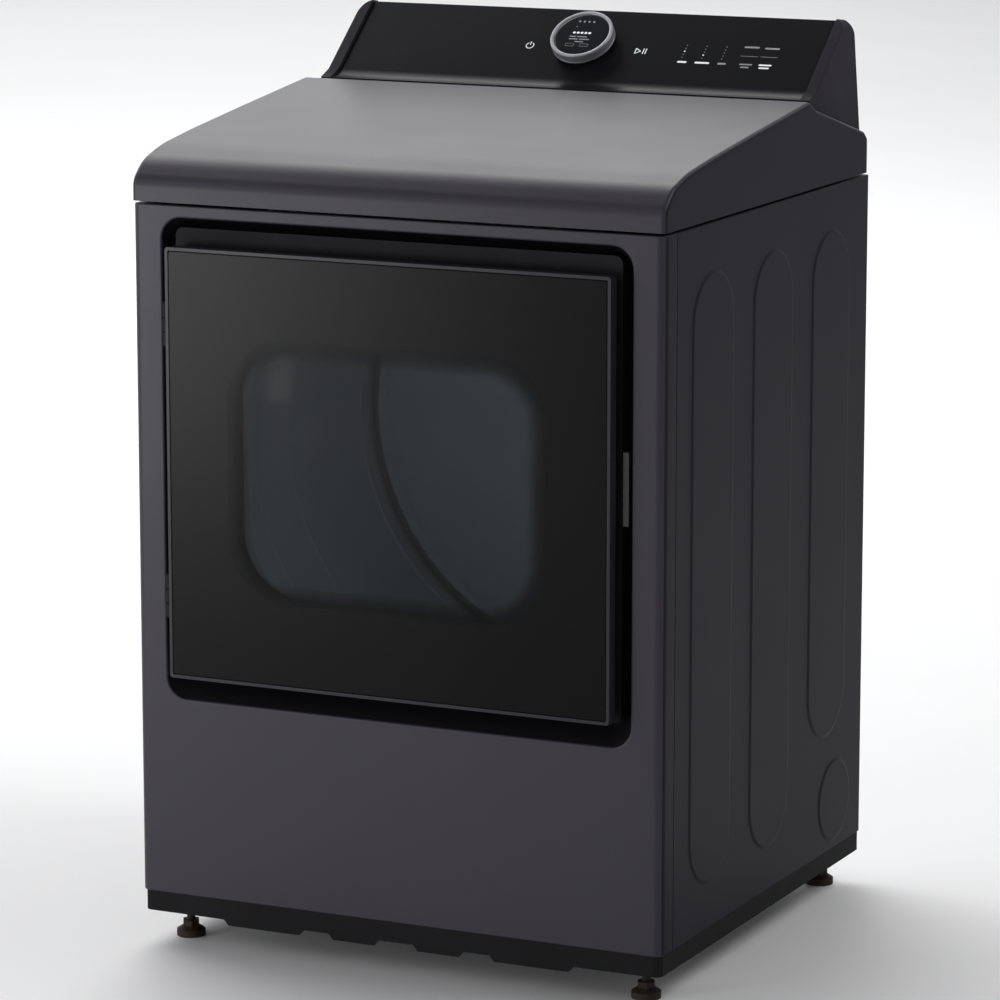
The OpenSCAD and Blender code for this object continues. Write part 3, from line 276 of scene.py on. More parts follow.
# Near black copy of the paint for the walls and floor of the door's recess: painted shade where the recess
# lies in shadow.
recess_shade_paint = satin_paint("recess_painted_shade", (0.007, 0.007, 0.009), 0.5, 0.0, 0.04)
inner_wall_mat = satin_paint("inner_wall", (0.34, 0.36, 0.385), 0.5, 0.0, 0.3)
screen_mat = moulded_plastic("screen_wire", (0.20, 0.21, 0.22), 0.5)
baffle_mat = moulded_plastic("baffle_plastic", (0.30, 0.32, 0.33), 0.5)
screw_mat = brushed_metal("screw_steel", (0.34, 0.34, 0.35), 0.35)
mark_mat = printed("key_print", (0.75, 0.77, 0.80), 0.35)
dim_mark_mat = printed("key_print_dim", (0.30, 0.31, 0.33), 0.08)


# ---------------- mesh helpers

def new_object(name, mesh, mat, body, nodes=()):
    obj = bpy.data.objects.new(name, mesh)
    bpy.context.scene.collection.objects.link(obj)
    mesh.materials.clear()
    mesh.materials.append(mat)
    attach(obj, body)
    if nodes:
        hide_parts(*nodes)
    return obj


def mesh_of(bm, name):
    """A new mesh with the contents of bm, which is then freed."""
    mesh = bpy.data.meshes.new(name)
    bm.to_mesh(mesh)
    bm.free()
    return mesh


def mesh_from(name, verts, faces):
    mesh = bpy.data.meshes.new(name)
    mesh.from_pydata([tuple(v) for v in verts], [], faces)
    mesh.validate()
    return mesh


def apply_modifiers(obj):
    depsgraph = bpy.context.evaluated_depsgraph_get()
    baked = bpy.data.meshes.new_from_object(obj.evaluated_get(depsgraph))
    obj.modifiers.clear()
    old = obj.data
    obj.data = baked
    bpy.data.meshes.remove(old)


def smooth(obj, angle=35.0):
    mesh = obj.data
    mesh.polygons.foreach_set("use_smooth", [True] * len(mesh.polygons))
    mesh.set_sharp_from_angle(angle=math.radians(angle))
    normal = obj.modifiers.new("weighted", "WEIGHTED_NORMAL")
    normal.keep_sharp = True
    return obj


def bevelled(obj, width):
    mod = obj.modifiers.new("bevel", "BEVEL")
    mod.width = width
    mod.segments = 2
    mod.limit_method = "ANGLE"
    mod.angle_limit = math.radians(30.0)
    mod.miter_outer = "MITER_ARC"


def repaint(obj, mat, chosen):
    """Give a second paint to the faces whose centre and normal pass the test."""
    obj.data.materials.append(mat)
    index = len(obj.data.materials) - 1
    for face in obj.data.polygons:
        if chosen(face.center, face.normal):
            face.material_index = index


def on_shaded_side(centre, normal):
    """True for a face of the cabinet's left or right side, which gets the painted shade."""
    return abs(normal.x) > 0.8 and abs(centre.x) > HALF_W - 3 * MM


def thickened(obj, thickness):
    """Gives a surface its thickness, on the inner side."""
    mod = obj.modifiers.new("sheet", "SOLIDIFY")
    mod.thickness = thickness
    mod.offset = -1.0
    mod.use_even_offset = True


WELD = 1e-6
FLAT = math.radians(0.6)


def refined(node, width, mat=None):
    """A copy of a CAD node with clean faces and small rounded edges, which replaces it."""
    mesh = frame["nodes"][node].data.copy()
    bm = bmesh.new()
    bm.from_mesh(mesh)
    bmesh.ops.remove_doubles(bm, verts=bm.verts, dist=WELD)
    bmesh.ops.dissolve_limit(bm, angle_limit=FLAT, verts=bm.verts, edges=bm.edges)
    bm.to_mesh(mesh)
    bm.free()
    slot = slot_of_node[node]
    obj = new_object(node + ".body", mesh, mat or mats[slot], body_of_node[node], [node])
    bevelled(obj, width)
    apply_modifiers(obj)
    return smooth(obj)


def loft(rings, cap_start=False, cap_end=False, closed=True):
    """Faces between consecutive point loops of equal length."""
    count = len(rings[0])
    verts = [p for ring in rings for p in ring]
    faces = []
    spans = count if closed else count - 1
    for r in range(len(rings) - 1):
        for i in range(spans):
            j = (i + 1) % count
            faces.append((r * count + i, r * count + j, (r + 1) * count + j, (r + 1) * count + i))
    if cap_start:
        faces.append(tuple(range(count))[::-1])
    if cap_end:
        base = (len(rings) - 1) * count
        faces.append(tuple(range(base, base + count)))
    return verts, faces


def outward(mesh):
    bm = bmesh.new()
    bm.from_mesh(mesh)
    bmesh.ops.recalc_face_normals(bm, faces=bm.faces)
    bm.to_mesh(mesh)
    bm.free()


def round_rect(cx, cz, w, h, r, steps=8):
    """Loop of (x, z) points, anticlockwise from the right side's lower corner."""
    r = max(min(r, w / 2, h / 2), 1e-5)
    points = []
    for sx, sz, start in ((1, -1, -90), (1, 1, 0), (-1, 1, 90), (-1, -1, 180)):
        corner_x = cx + sx * (w / 2 - r)
        corner_z = cz + sz * (h / 2 - r)
        for a in arc(steps, start, start + 90.0):
            points.append((corner_x + r * math.cos(a), corner_z + r * math.sin(a)))
    return points


def arc(n, start=0.0, end=90.0):
    """n + 1 angles in radians from start to end, which are in degrees."""
    return [math.radians(start + (end - start) * k / n) for k in range(n + 1)]


def disc(x, y, r, n=20):
    return [(x + r * math.cos(2 * math.pi * k / n), y + r * math.sin(2 * math.pi * k / n)) for k in range(n)]


def lathe(name, profile, matrix, mat, body, nodes=(), steps=96, angle=35.0):
    """Closed (radius, height) outline turned about the Z axis of matrix."""
    verts = []
    for k in range(steps):
        a = 2 * math.pi * k / steps
        verts += [matrix @ Vector((r * math.cos(a), r * math.sin(a), h)) for r, h in profile]
    count = len(profile)
    faces = []
    for k in range(steps):
        here, ahead = k * count, (k + 1) % steps * count
        for i in range(count):
            j = (i + 1) % count
            faces.append((here + i, here + j, ahead + j, ahead + i))
    mesh = mesh_from(name, verts, faces)
    bm = bmesh.new()
    bm.from_mesh(mesh)
    bmesh.ops.remove_doubles(bm, verts=bm.verts, dist=1e-7)
    bmesh.ops.dissolve_degenerate(bm, dist=1e-7, edges=bm.edges)
    bmesh.ops.recalc_face_normals(bm, faces=bm.faces)
    bm.to_mesh(mesh)
    bm.free()
    return smooth(new_object(name, mesh, mat, body, nodes), angle)


# ---------------- sheet metal

SHEET = 1.0 * MM
COVER_SHEET = 1.4 * MM
ROLL = 1.2 * MM

# Front panel: plan corner, lip along the upper and lower edges, return behind the side wraps
PANEL_CORNER = 11 * MM
PANEL_LIP = 1.5 * MM
PANEL_RETURN = 12 * MM
PANEL_EDGE_X = HALF_W - PANEL_CORNER
PANEL_STEPS = 12

# Recess: gaps round the door frame, and how far each wall leans in by the floor
GAP_SIDE, GAP_LOW, GAP_HIGH = 16.5 * MM, 31 * MM, 31.6 * MM
LEAN_SIDE, LEAN_LOW, LEAN_HIGH = 11.5 * MM, 21 * MM, 8 * MM
RECESS_R = 26 * MM
RECESS_LIP = 2.6 * MM
FLOOR_FILLET = 3.5 * MM
WALL_END = 0.86
MOUTH_FLANGE = 3 * MM
MOUTH_R = 110 * MM
MOUTH_INSET = 14 * MM


def rect_ring(x_half, z_low, z_high, reach, steps):
    """Rectangle sampled like round_rect, with its corner points spread over reach."""
    corners = [(x_half, z_low, (-1, 0), (0, 1)), (x_half, z_high, (0, -1), (-1, 0)),
               (-x_half, z_high, (1, 0), (0, -1)), (-x_half, z_low, (0, 1), (1, 0))]
    points = []
    for x, z, before, after in corners:
        for k in range(steps + 1):
            t = 2.0 * k / steps - 1.0
            way = before if t < 0 else after
            d = abs(t) * reach
            points.append((x + way[0] * d, z + way[1] * d))
    return points


def grid_faces(bm, rows):
    """Quads between rows of BMVerts of equal length."""
    for low, high in zip(rows, rows[1:]):
        for i in range(len(low) - 1):
            corners = [low[i], low[i + 1], high[i + 1], high[i]]
            if len(set(corners)) > 2:
                bm.faces.new(corners)


def recess_opening():
    """Half width, lower edge and upper edge of the recess in the front plane."""
    lo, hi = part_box("door_frame")
    return (hi.x - lo.x) / 2 + GAP_SIDE, lo.z - GAP_LOW, hi.z + GAP_HIGH


def panel_rings(bm):
    """Loops from the panel's outline down the recess and into the drum's mouth."""
    open_half, open_low, open_high = recess_opening()
    depth = panel_depth()
    mouth_half_w, mouth_half_h = mouth_size()
    door_lo, door_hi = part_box("door_frame")
    mouth_z = (door_lo.z + door_hi.z) / 2

    def ring(points, y):
        return [bm.verts.new((x, FRONT_Y + y, z)) for x, z in points]

    def recess_ring(grow, y, t):
        half = open_half - LEAN_SIDE * t + grow
        low = open_low + LEAN_LOW * t - grow
        high = open_high - LEAN_HIGH * t + grow
        middle = (low + high) / 2
        return ring(round_rect(0, middle, 2 * half, high - low, RECESS_R + grow, PANEL_STEPS), y)

    def mouth_ring(grow, y):
        w, h = 2 * (mouth_half_w + grow), 2 * (mouth_half_h + grow)
        return ring(round_rect(0, mouth_z, w, h, MOUTH_R + grow, PANEL_STEPS), y)

    outline = rect_ring(PANEL_EDGE_X, PANEL_LOW + PANEL_LIP, PANEL_HIGH - PANEL_LIP, 12 * MM, PANEL_STEPS)
    rings = [ring(outline, 0.0)]
    for a in arc(5):
        rings.append(recess_ring(RECESS_LIP * (1 - math.sin(a)), RECESS_LIP * (1 - math.cos(a)), 0.0))
    wall_start = RECESS_LIP / depth
    for k in range(1, 4):
        t = wall_start + (WALL_END - wall_start) * k / 3
        rings.append(recess_ring(0.0, depth * t, t))
    for a in arc(5)[1:]:
        t = WALL_END + (1 - WALL_END) * math.sin(a)
        rings.append(recess_ring(-FLOOR_FILLET * (1 - math.cos(a)), depth * t, t))
    for a in arc(5):
        rings.append(mouth_ring(MOUTH_FLANGE * (1 - math.sin(a)), depth + MOUTH_FLANGE * (1 - math.cos(a))))
    rings.append(mouth_ring(0.0, depth + 5.5 * MM))
    return rings


def wrap_columns(bm, edge, side):
    """Columns of vertices from the front's upright edge round the corner to its inward return."""
    wrap_end = WRAP_Y - FRONT_Y
    path = [(PANEL_EDGE_X + PANEL_CORNER * math.sin(a), PANEL_CORNER * (1 - math.cos(a)))
            for a in arc(8)[1:]]
    path.append((HALF_W, (wrap_end + PANEL_CORNER) / 2))
    path += [(HALF_W - ROLL * (1 - math.sin(a)), wrap_end - ROLL * (1 - math.cos(a)))
             for a in reversed(arc(3))]
    path.append((HALF_W - PANEL_RETURN, wrap_end))
    columns = [edge]
    for x, y in path:
        columns.append([bm.verts.new((side * x, FRONT_Y + y, v.co.z)) for v in edge])
    grid_faces(bm, columns)
    return columns


def rolled_edge(bm, path, sign):
    """Rolled lip and inward return along the upper (sign 1) or lower (sign -1) edge."""
    turns = [(PANEL_LIP * (1 - math.cos(a)), PANEL_LIP * math.sin(a)) for a in arc(4)[1:]]
    turns.append((PANEL_CORNER, PANEL_LIP))
    rows = [path]
    for inward, rise in turns:
        row = []
        for v in path:
            x, y = v.co.x, v.co.y - FRONT_Y
            cx = max(-PANEL_EDGE_X, min(PANEL_EDGE_X, x))
            cy = max(PANEL_CORNER, y)
            away = Vector((x - cx, y - cy))
            away = away.normalized() * max(away.length - inward, 0.0)
            row.append(bm.verts.new((cx + away.x, FRONT_Y + cy + away.y, v.co.z + sign * rise)))
        rows.append(row)
    grid_faces(bm, rows)


def edge_of(ring, picked, along):
    """The vertices of a ring that pass the test, sorted along an axis."""
    return sorted((v for v in ring if picked(v.co)), key=lambda v: v.co[along])


def make_front_panel():
    """Painted front: a tapered recess with the drum's mouth, wrapped sides and rolled edges."""
    bm = bmesh.new()
    rings = panel_rings(bm)
    for outer, inner in zip(rings, rings[1:]):
        n = len(outer)
        for i in range(n):
            j = (i + 1) % n
            bm.faces.new([outer[i], outer[j], inner[j], inner[i]])
    side_columns = []
    for side in (-1, 1):
        edge = edge_of(rings[0], lambda co: abs(co.x - side * PANEL_EDGE_X) < 1e-7, 2)
        side_columns.append(wrap_columns(bm, edge, side))
    for sign, pick, level in ((-1, 0, PANEL_LOW + PANEL_LIP), (1, -1, PANEL_HIGH - PANEL_LIP)):
        middle = edge_of(rings[0], lambda co: abs(co.z - level) < 1e-7, 0)
        left, right = ([column[pick] for column in columns[1:-1]] for columns in side_columns)
        rolled_edge(bm, left[::-1] + middle + right, sign)
    bmesh.ops.remove_doubles(bm, verts=bm.verts, dist=WELD)
    bmesh.ops.dissolve_degenerate(bm, dist=1e-7, edges=bm.edges)
    bmesh.ops.recalc_face_normals(bm, faces=bm.faces)
    mesh = mesh_of(bm, "front_panel.sheet")
    if mesh_faces_back(mesh):
        mesh.flip_normals()
    paint = "paint_graphite"
    obj = new_object("front_panel.sheet", mesh, mats[paint], "cabinet", ["front_panel"])
    thickened(obj, SHEET)
    apply_modifiers(obj)
    catch_lo, catch_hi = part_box("carrier_catch")
    middle = (catch_lo + catch_hi) / 2
    cut_slot(obj, (middle.x, FRONT_Y + panel_depth(), middle.z), (14 * MM, 8 * MM, 22 * MM))
    open_half, open_low, open_high = recess_opening()
    recess_shade_from = FRONT_Y + 1.6 * MM
    # The side faces get the darker copy of the paint: painted shade.
    repaint(obj, side_shade_paint, on_shaded_side)
    # The recess walls and floor, behind the front plane and inside the opening, get the near black paint:
    # painted shade.
    repaint(obj, recess_shade_paint,
            lambda c, n: c.y > recess_shade_from and abs(c.x) < open_half and open_low < c.z < open_high)
    return smooth(obj)


def mesh_faces_back(mesh):
    """True when the largest face on the front plane looks towards the back."""
    front = [p for p in mesh.polygons if abs(p.normal.y) > 0.99 and abs(p.center.y - FRONT_Y) < 1e-5]
    biggest = max(front, key=lambda p: p.area)
    return biggest.normal.y > 0


def cut_slot(obj, centre, size):
    bm = bmesh.new()
    block = Matrix.Translation(centre) @ Matrix.Diagonal((*size, 1.0))
    bmesh.ops.create_cube(bm, size=1.0, matrix=block)
    mesh = mesh_of(bm, "cutter")
    cutter = bpy.data.objects.new("cutter", mesh)
    bpy.context.scene.collection.objects.link(cutter)
    mod = obj.modifiers.new("slot", "BOOLEAN")
    mod.operation = "DIFFERENCE"
    mod.solver = "EXACT"
    mod.object = cutter
    apply_modifiers(obj)
    bpy.data.objects.remove(cutter)
    bpy.data.meshes.remove(mesh)


def panel_depth():
    """Depth of the recess: the carrier catch stands on the back of its one millimetre floor."""
    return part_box("carrier_catch")[0].y - FRONT_Y - SHEET


def mouth_size():
    """Half width and half height of the drum's mouth, which lies inside the door's seal."""
    lo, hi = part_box("door_seal")
    return (hi.x - lo.x) / 2 - MOUTH_INSET, (hi.z - lo.z) / 2 - MOUTH_INSET


# Side panel ribs: distance of the front edge behind the front plane, lower end, upper end
RIB_W = 126 * MM
RIBS = ((76 * MM, 119 * MM, 848 * MM), (258 * MM, 117 * MM, 849 * MM), (443 * MM, 213 * MM, 850 * MM))
KNOCKOUT_Y, KNOCKOUT_Z, KNOCKOUT_R = 539 * MM, 127 * MM, 54 * MM
SIDE_RETURN = 10 * MM
# Distance in from a pressed outline, and height there
PRESSING = ((0.0, 0.0), (1.0, 0.10), (2.2, 0.45), (3.4, 1.05), (4.6, 1.40), (5.8, 1.5))


def stadium(y, low, high, half, n=20):
    """Loop of (y, z) points: an upright slot shape with round ends."""
    points = [(y + half * math.cos(a), high - half + half * math.sin(a)) for a in arc(n, 0, 180)]
    points += [(y + half * math.cos(a), low + half + half * math.sin(a)) for a in arc(n, 180, 360)]
    return points


def pressed_outlines(inset):
    """The ribs' and the knockout's outlines in (y, z), drawn in by inset."""
    half = RIB_W / 2
    outlines = [stadium(FRONT_Y + front + half, low + inset, high - inset, half - inset)
                for front, low, high in RIBS]
    outlines.append(disc(FRONT_Y + KNOCKOUT_Y, KNOCKOUT_Z, KNOCKOUT_R - inset, 48))
    return outlines


def make_side_panel(side, node):
    """Side sheet with three pressed stadium ribs and a round vent knockout, all in the darker copy of the
    graphite paint, which is painted shade.
    """
    lo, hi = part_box(node)
    bm = bmesh.new()
    low, high = PANEL_LOW + ROLL, PANEL_HIGH - ROLL
    front, back = lo.y + ROLL, hi.y - ROLL
    outer = [bm.verts.new((side * HALF_W, y, z))
             for y, z in ((front, low), (back, low), (back, high), (front, high))]
    edges = [bm.edges.new((outer[i], outer[(i + 1) % 4])) for i in range(4)]
    for loops in zip(*(pressed_outlines(inset * MM) for inset, _ in PRESSING)):
        rings = [[bm.verts.new((side * (HALF_W + rise * MM), y, z)) for y, z in loop]
                 for loop, (_, rise) in zip(loops, PRESSING)]
        n = len(rings[0])
        for a, b in zip(rings, rings[1:]):
            for i in range(n):
                bm.faces.new([a[i], a[(i + 1) % n], b[(i + 1) % n], b[i]])
        bm.faces.new(rings[-1])
        edges += [bm.edges.get((rings[0][i], rings[0][(i + 1) % n])) for i in range(n)]
    bmesh.ops.triangle_fill(bm, use_beauty=True, use_dissolve=False, edges=edges)
    # rolled rim and inward return on all four edges
    turns = [(ROLL * (1 - math.cos(a)), ROLL * math.sin(a)) for a in arc(3)[1:]] + [(SIDE_RETURN, ROLL)]
    rim = outer
    for inward, spread in turns:
        grown = []
        for v, (sy, sz) in zip(outer, ((-1, -1), (1, -1), (1, 1), (-1, 1))):
            place = (side * (HALF_W - inward), v.co.y + sy * spread, v.co.z + sz * spread)
            grown.append(bm.verts.new(place))
        for i in range(4):
            bm.faces.new([rim[i], rim[(i + 1) % 4], grown[(i + 1) % 4], grown[i]])
        rim = grown
    bmesh.ops.recalc_face_normals(bm, faces=bm.faces)
    mesh = mesh_of(bm, node + ".sheet")
    flat = max(mesh.polygons, key=lambda p: p.area)
    if flat.normal.x * side < 0:
        mesh.flip_normals()
    obj = new_object(node + ".sheet", mesh, side_shade_paint, "cabinet", [node])
    thickened(obj, SHEET)
    apply_modifiers(obj)
    return smooth(obj)


# Top cover's outline: millimetres back from its front face and up from its lower edge, then the radius
COVER_OUTLINE = (
    (0, 0, 0), (0, 26, 22), (24, 47.5, 60), (68, 60.5, 200), (137, 70.5, 400), (265, 86, 800),
    (435, 105.5, 7), (456, 94, 26), (616, 52, 8),
)
COVER_BACK_Z, COVER_BACK_R = 43, 8
COVER_ROLL = 6 * MM
COVER_RETURN = 12 * MM


def cover_profile():
    """(y, z) outline of the top cover from its front lower edge to its rear lower edge."""
    lo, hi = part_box("top_cover")
    corners = [(Vector((lo.y + y * MM, lo.z + z * MM)), r * MM) for y, z, r in COVER_OUTLINE]
    corners += [(Vector((hi.y, lo.z + COVER_BACK_Z * MM)), COVER_BACK_R * MM), (Vector((hi.y, lo.z)), 0)]
    outline = []
    for i, (p, r) in enumerate(corners):
        if r == 0:
            outline.append(p)
            continue
        a, b = corners[i - 1][0] - p, corners[i + 1][0] - p
        turn = math.pi - a.angle(b)
        reach = min(r * math.tan(turn / 2), 0.49 * a.length, 0.49 * b.length)
        start, end = p + a.normalized() * reach, p + b.normalized() * reach
        for k in range(7):
            t = k / 6
            outline.append(start.lerp(p, t).lerp(p.lerp(end, t), t))
    return outline


def cover_normals(profile):
    """Inward normal at each point of the outline, level at its two ends."""
    last = len(profile) - 1
    normals = []
    for i in range(last + 1):
        t = (profile[min(i + 1, last)] - profile[max(i - 1, 0)]).normalized()
        normals.append(Vector((t.y, -t.x)))
    normals[0], normals[-1] = Vector((1, 0)), Vector((-1, 0))
    return normals


def add_cover_return(bm, lo, hi):
    """Extrude the open lower rim and turn it inwards on all four sides."""
    rim = [e for e in bm.edges if e.is_boundary]
    made = bmesh.ops.extrude_edge_only(bm, edges=rim)["geom"]
    near = 2 * COVER_ROLL
    for v in (g for g in made if isinstance(g, bmesh.types.BMVert)):
        if abs(v.co.x) > hi.x - near:
            v.co.x -= math.copysign(COVER_RETURN, v.co.x)
        if v.co.y < lo.y + near:
            v.co.y += COVER_RETURN
        elif v.co.y > hi.y - near:
            v.co.y -= COVER_RETURN


def make_top_cover():
    """Painted top cover: the outline swept across, rolled at both ends, with a return below."""
    profile = cover_profile()
    normals = cover_normals(profile)
    lo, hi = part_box("top_cover")
    right = [(hi.x - COVER_ROLL + COVER_ROLL * math.sin(a), COVER_ROLL * (1 - math.cos(a)))
             for a in arc(7)]
    stations = [(-x, inset) for x, inset in reversed(right)]
    stations += [(-0.2 * hi.x, 0.0), (0.2 * hi.x, 0.0)] + right
    rings = [[(x, p.x + n.x * inset, p.y + n.y * inset) for p, n in zip(profile, normals)]
             for x, inset in stations]
    verts, faces = loft(rings, closed=False)
    count = len(profile)
    last = len(rings) - 1
    faces.append(tuple(range(count)))
    faces.append(tuple(last * count + i for i in reversed(range(count))))
    mesh = mesh_from("top_cover.sheet", verts, faces)
    bm = bmesh.new()
    bm.from_mesh(mesh)
    bmesh.ops.recalc_face_normals(bm, faces=bm.faces)
    add_cover_return(bm, lo, hi)
    bmesh.ops.recalc_face_normals(bm, faces=bm.faces)
    bm.to_mesh(mesh)
    bm.free()
    top = max(mesh.polygons, key=lambda p: p.area * abs(p.normal.z))
    if top.normal.z < 0:
        mesh.flip_normals()
    paint = "paint_graphite"
    obj = new_object("top_cover.sheet", mesh, mats[paint], "cabinet", ["top_cover"])
    thickened(obj, COVER_SHEET)
    apply_modifiers(obj)
    # The cover's side faces get the darker copy of the paint: painted shade.
    repaint(obj, side_shade_paint, on_shaded_side)
    return smooth(obj, 40)


# ---------------- console

def knob_frame():
    """Matrix at the knob's foot on the fascia, with +Z along the fascia's outward normal."""
    axis = Vector(knob_joint["axis"]).normalized()
    across = Vector((1, 0, 0))
    up = axis.cross(across)
    turn = Matrix((across, up, axis)).transposed().to_4x4()
    return Matrix.Translation(Vector(knob_joint["pos_m"])) @ turn


def stroke(points, width):
    """Flat ribbon outline round an open line of 2-D points, with round ends."""
    half = width / 2
    pts = [Vector(p) for p in points]
    left, right = [], []
    for i, p in enumerate(pts):
        t = (pts[min(i + 1, len(pts) - 1)] - pts[max(i - 1, 0)]).normalized()
        n = Vector((-t.y, t.x))
        left.append(p + n * half)
        right.append(p - n * half)
    out = list(right)
    end_t = (pts[-1] - pts[-2]).normalized()
    start_t = (pts[0] - pts[1]).normalized()
    for a in arc(6, -90, 90)[1:-1]:
        out.append(pts[-1] + half * (end_t * math.cos(a) + Vector((-end_t.y, end_t.x)) * math.sin(a)))
    out += reversed(left)
    for a in arc(6, -90, 90)[1:-1]:
        out.append(pts[0] + half * (start_t * math.cos(a) + Vector((-start_t.y, start_t.x)) * math.sin(a)))
    return out


def bar(x, y, w, h):
    r = h / 2
    return stroke([(x - w / 2 + r, y), (x + w / 2 - r, y)], h)


def outlined(points, width):
    """Strokes along every side of a closed shape."""
    return [stroke([a, b], width) for a, b in zip(points, points[1:] + points[:1])]


PRINT_LOW, PRINT_HIGH = -0.05 * MM, 0.12 * MM


def marks(name, shapes, matrix, mat):
    """Thin raised print: shapes in millimetres on the XY plane of matrix."""
    bm = bmesh.new()
    for shape in shapes:
        low, high = ([bm.verts.new(matrix @ Vector((p[0] * MM, p[1] * MM, z))) for p in shape]
                     for z in (PRINT_LOW, PRINT_HIGH))
        n = len(shape)
        for i in range(n):
            bm.faces.new([low[i], low[(i + 1) % n], high[(i + 1) % n], high[i]])
        bm.faces.new(high)
        bm.faces.new(low[::-1])
    bmesh.ops.triangulate(bm, faces=[f for f in bm.faces if len(f.verts) > 4])
    bmesh.ops.recalc_face_normals(bm, faces=bm.faces)
    return new_object(name, mesh_of(bm, name), mat, "cabinet")


# Knob: radii, and heights above its foot on the fascia, in millimetres
RING_R, RING_HOLE_R, RING_LOW, RING_TOP, RING_ROUND = 40.5, 35.5, 3.6, 18.0, 1.6
DISPLAY_R, DISPLAY_LOW, DISPLAY_TOP, DISPLAY_CROWN = 35.0, 12.0, 17.0, 0.3


def make_knob_ring():
    """Turned ring with a rounded rim and a fine groove round its wall."""
    profile = [(RING_HOLE_R, RING_LOW), (RING_R - 2.6, RING_LOW), (RING_R - 1.0, 4.6), (RING_R - 0.4, 5.4),
               (RING_R, 6.4), (RING_R, 7.2), (RING_R - 0.35, 7.5), (RING_R - 0.35, 7.9), (RING_R, 8.2),
               (RING_R, RING_TOP - RING_ROUND)]
    profile += [(RING_R - RING_ROUND * (1 - math.cos(a)), RING_TOP - RING_ROUND * (1 - math.sin(a)))
                for a in arc(5)]
    profile += [(RING_HOLE_R + 1.4, RING_TOP), (RING_HOLE_R + 0.7, RING_TOP - 0.25),
                (RING_HOLE_R + 0.2, RING_TOP - 0.8), (RING_HOLE_R, RING_TOP - 1.4)]
    lathe("knob_ring.turned", [(r * MM, h * MM) for r, h in profile], knob_frame(), mats["knob_metal"],
          "knob", ["knob_ring"], steps=128)


def make_knob_display():
    """Fixed display in the ring: slightly crowned glass with generic bars and dots."""
    profile = [(0.0, DISPLAY_LOW), (DISPLAY_R, DISPLAY_LOW), (DISPLAY_R, DISPLAY_TOP - 0.9),
               (DISPLAY_R - 0.3, DISPLAY_TOP - 0.3), (DISPLAY_R - 0.9, DISPLAY_TOP),
               (DISPLAY_R - 4, DISPLAY_TOP + 0.08), (DISPLAY_R * 0.5, DISPLAY_TOP + 0.25),
               (0.0, DISPLAY_TOP + DISPLAY_CROWN)]
    lathe("knob_display.glass", [(r * MM, h * MM) for r, h in profile], knob_frame(), mats["display_black"],
          "cabinet", ["knob_display"], steps=96)
    title = [bar(x, 2.2, 4.0, 3.6) for x in (-10.4, -5.2, 0.0, 5.2, 10.4)]
    lines = [bar(-10, -4.6, 9, 1.5), bar(2.4, -4.6, 13, 1.5), bar(-8, -9.0, 12, 1.5),
             bar(6.5, -9.0, 14, 1.5), bar(1, -13.4, 12, 1.5)]
    lines += [disc(x, 22.0, 1.5) for x in (-9.6, -3.2, 3.2, 9.6)]
    lines.append(disc(-10.5, 13.0, 0.7))
    for x in (-9.5, 9.5):
        corners = [(x + 5.5 * sx, -19.2 + 2.2 * sy) for sx, sy in ((-1, -1), (1, -1), (1, 1), (-1, 1))]
        lines += outlined(corners, 0.35)
    at_face = knob_frame() @ Matrix.Translation((0, 0, (DISPLAY_TOP + DISPLAY_CROWN) * MM))
    marks("display_title.print", title, at_face, mark_mat)
    marks("display_lines.print", lines, at_face, dim_mark_mat)


# Print on the fascia in millimetres, measured from the knob's foot
# Keys: distance to the right, and down the slope
POWER_AT = (-73.2, 6.4)
START_AT = (78.6, 7.8)
# Three columns of five dots: distance to the right, height up the slope, and the lit row of each
DOT_COLUMNS = ((136.2, 2), (162.6, 3), (189.0, None))
DOT_TOP = 6.0
DOT_PITCH = 5.3
# Bars that stand for words: right, up the slope, width, height, lit
WORD_BARS = (
    (138.6, -23.2, 12.7, 3.0, True), (165.2, -23.2, 19.5, 3.0, True), (191.4, -23.2, 11.3, 3.0, False),
    (222.0, 7.2, 20.0, 2.8, False), (249.0, 6.4, 19.5, 2.8, False),
    (223.0, -8.4, 22.6, 0.6, False), (249.3, -8.4, 22.6, 0.6, False),
    (223.0, -22.6, 17.0, 2.2, False), (223.0, -27.6, 11.6, 2.2, False),
    (248.6, -22.6, 17.0, 2.6, True), (248.3, -27.6, 13.6, 2.6, True),
)


def fascia_spot(x_mm, down_mm):
    """Matrix on the fascia's flat face, down_mm below the knob's foot along the slope."""
    return knob_frame() @ Matrix.Translation((x_mm * MM, -down_mm * MM, 0))


def make_key_marks():
    """Generic power and start symbols."""
    power = [(5.0 * math.cos(a), 5.0 * math.sin(a)) for a in arc(19, 125, 410)]
    shapes = [stroke([a, b], 1.2) for a, b in zip(power, power[1:])] + [stroke([(0, 1.6), (0, 6.4)], 1.2)]
    marks("power_key.print", shapes, fascia_spot(*POWER_AT), mark_mat)
    shapes = outlined([(-7.5, -4.4), (-7.5, 4.4), (-0.6, 0.0)], 1.1)
    shapes += [stroke([(x, -4.2), (x, 4.2)], 1.3) for x in (3.0, 6.4)]
    marks("start_key.print", shapes, fascia_spot(*START_AT), mark_mat)


def make_lamp_marks():
    """Dots and word bars to the right of the knob, some lit and some dim."""
    lit, dim = [], []
    for x, chosen in DOT_COLUMNS:
        for row in range(5):
            target, radius = (lit, 1.1) if row == chosen else (dim, 0.7)
            target.append(disc(x, DOT_TOP - row * DOT_PITCH, radius, 12))
    for x, up, width, height, bright in WORD_BARS:
        (lit if bright else dim).append(bar(x, up, width, height))
    marks("cycle_lamps.print", lit, fascia_spot(0, 0), mark_mat)
    marks("cycle_dots.print", dim, fascia_spot(0, 0), dim_mark_mat)


# ---------------- door

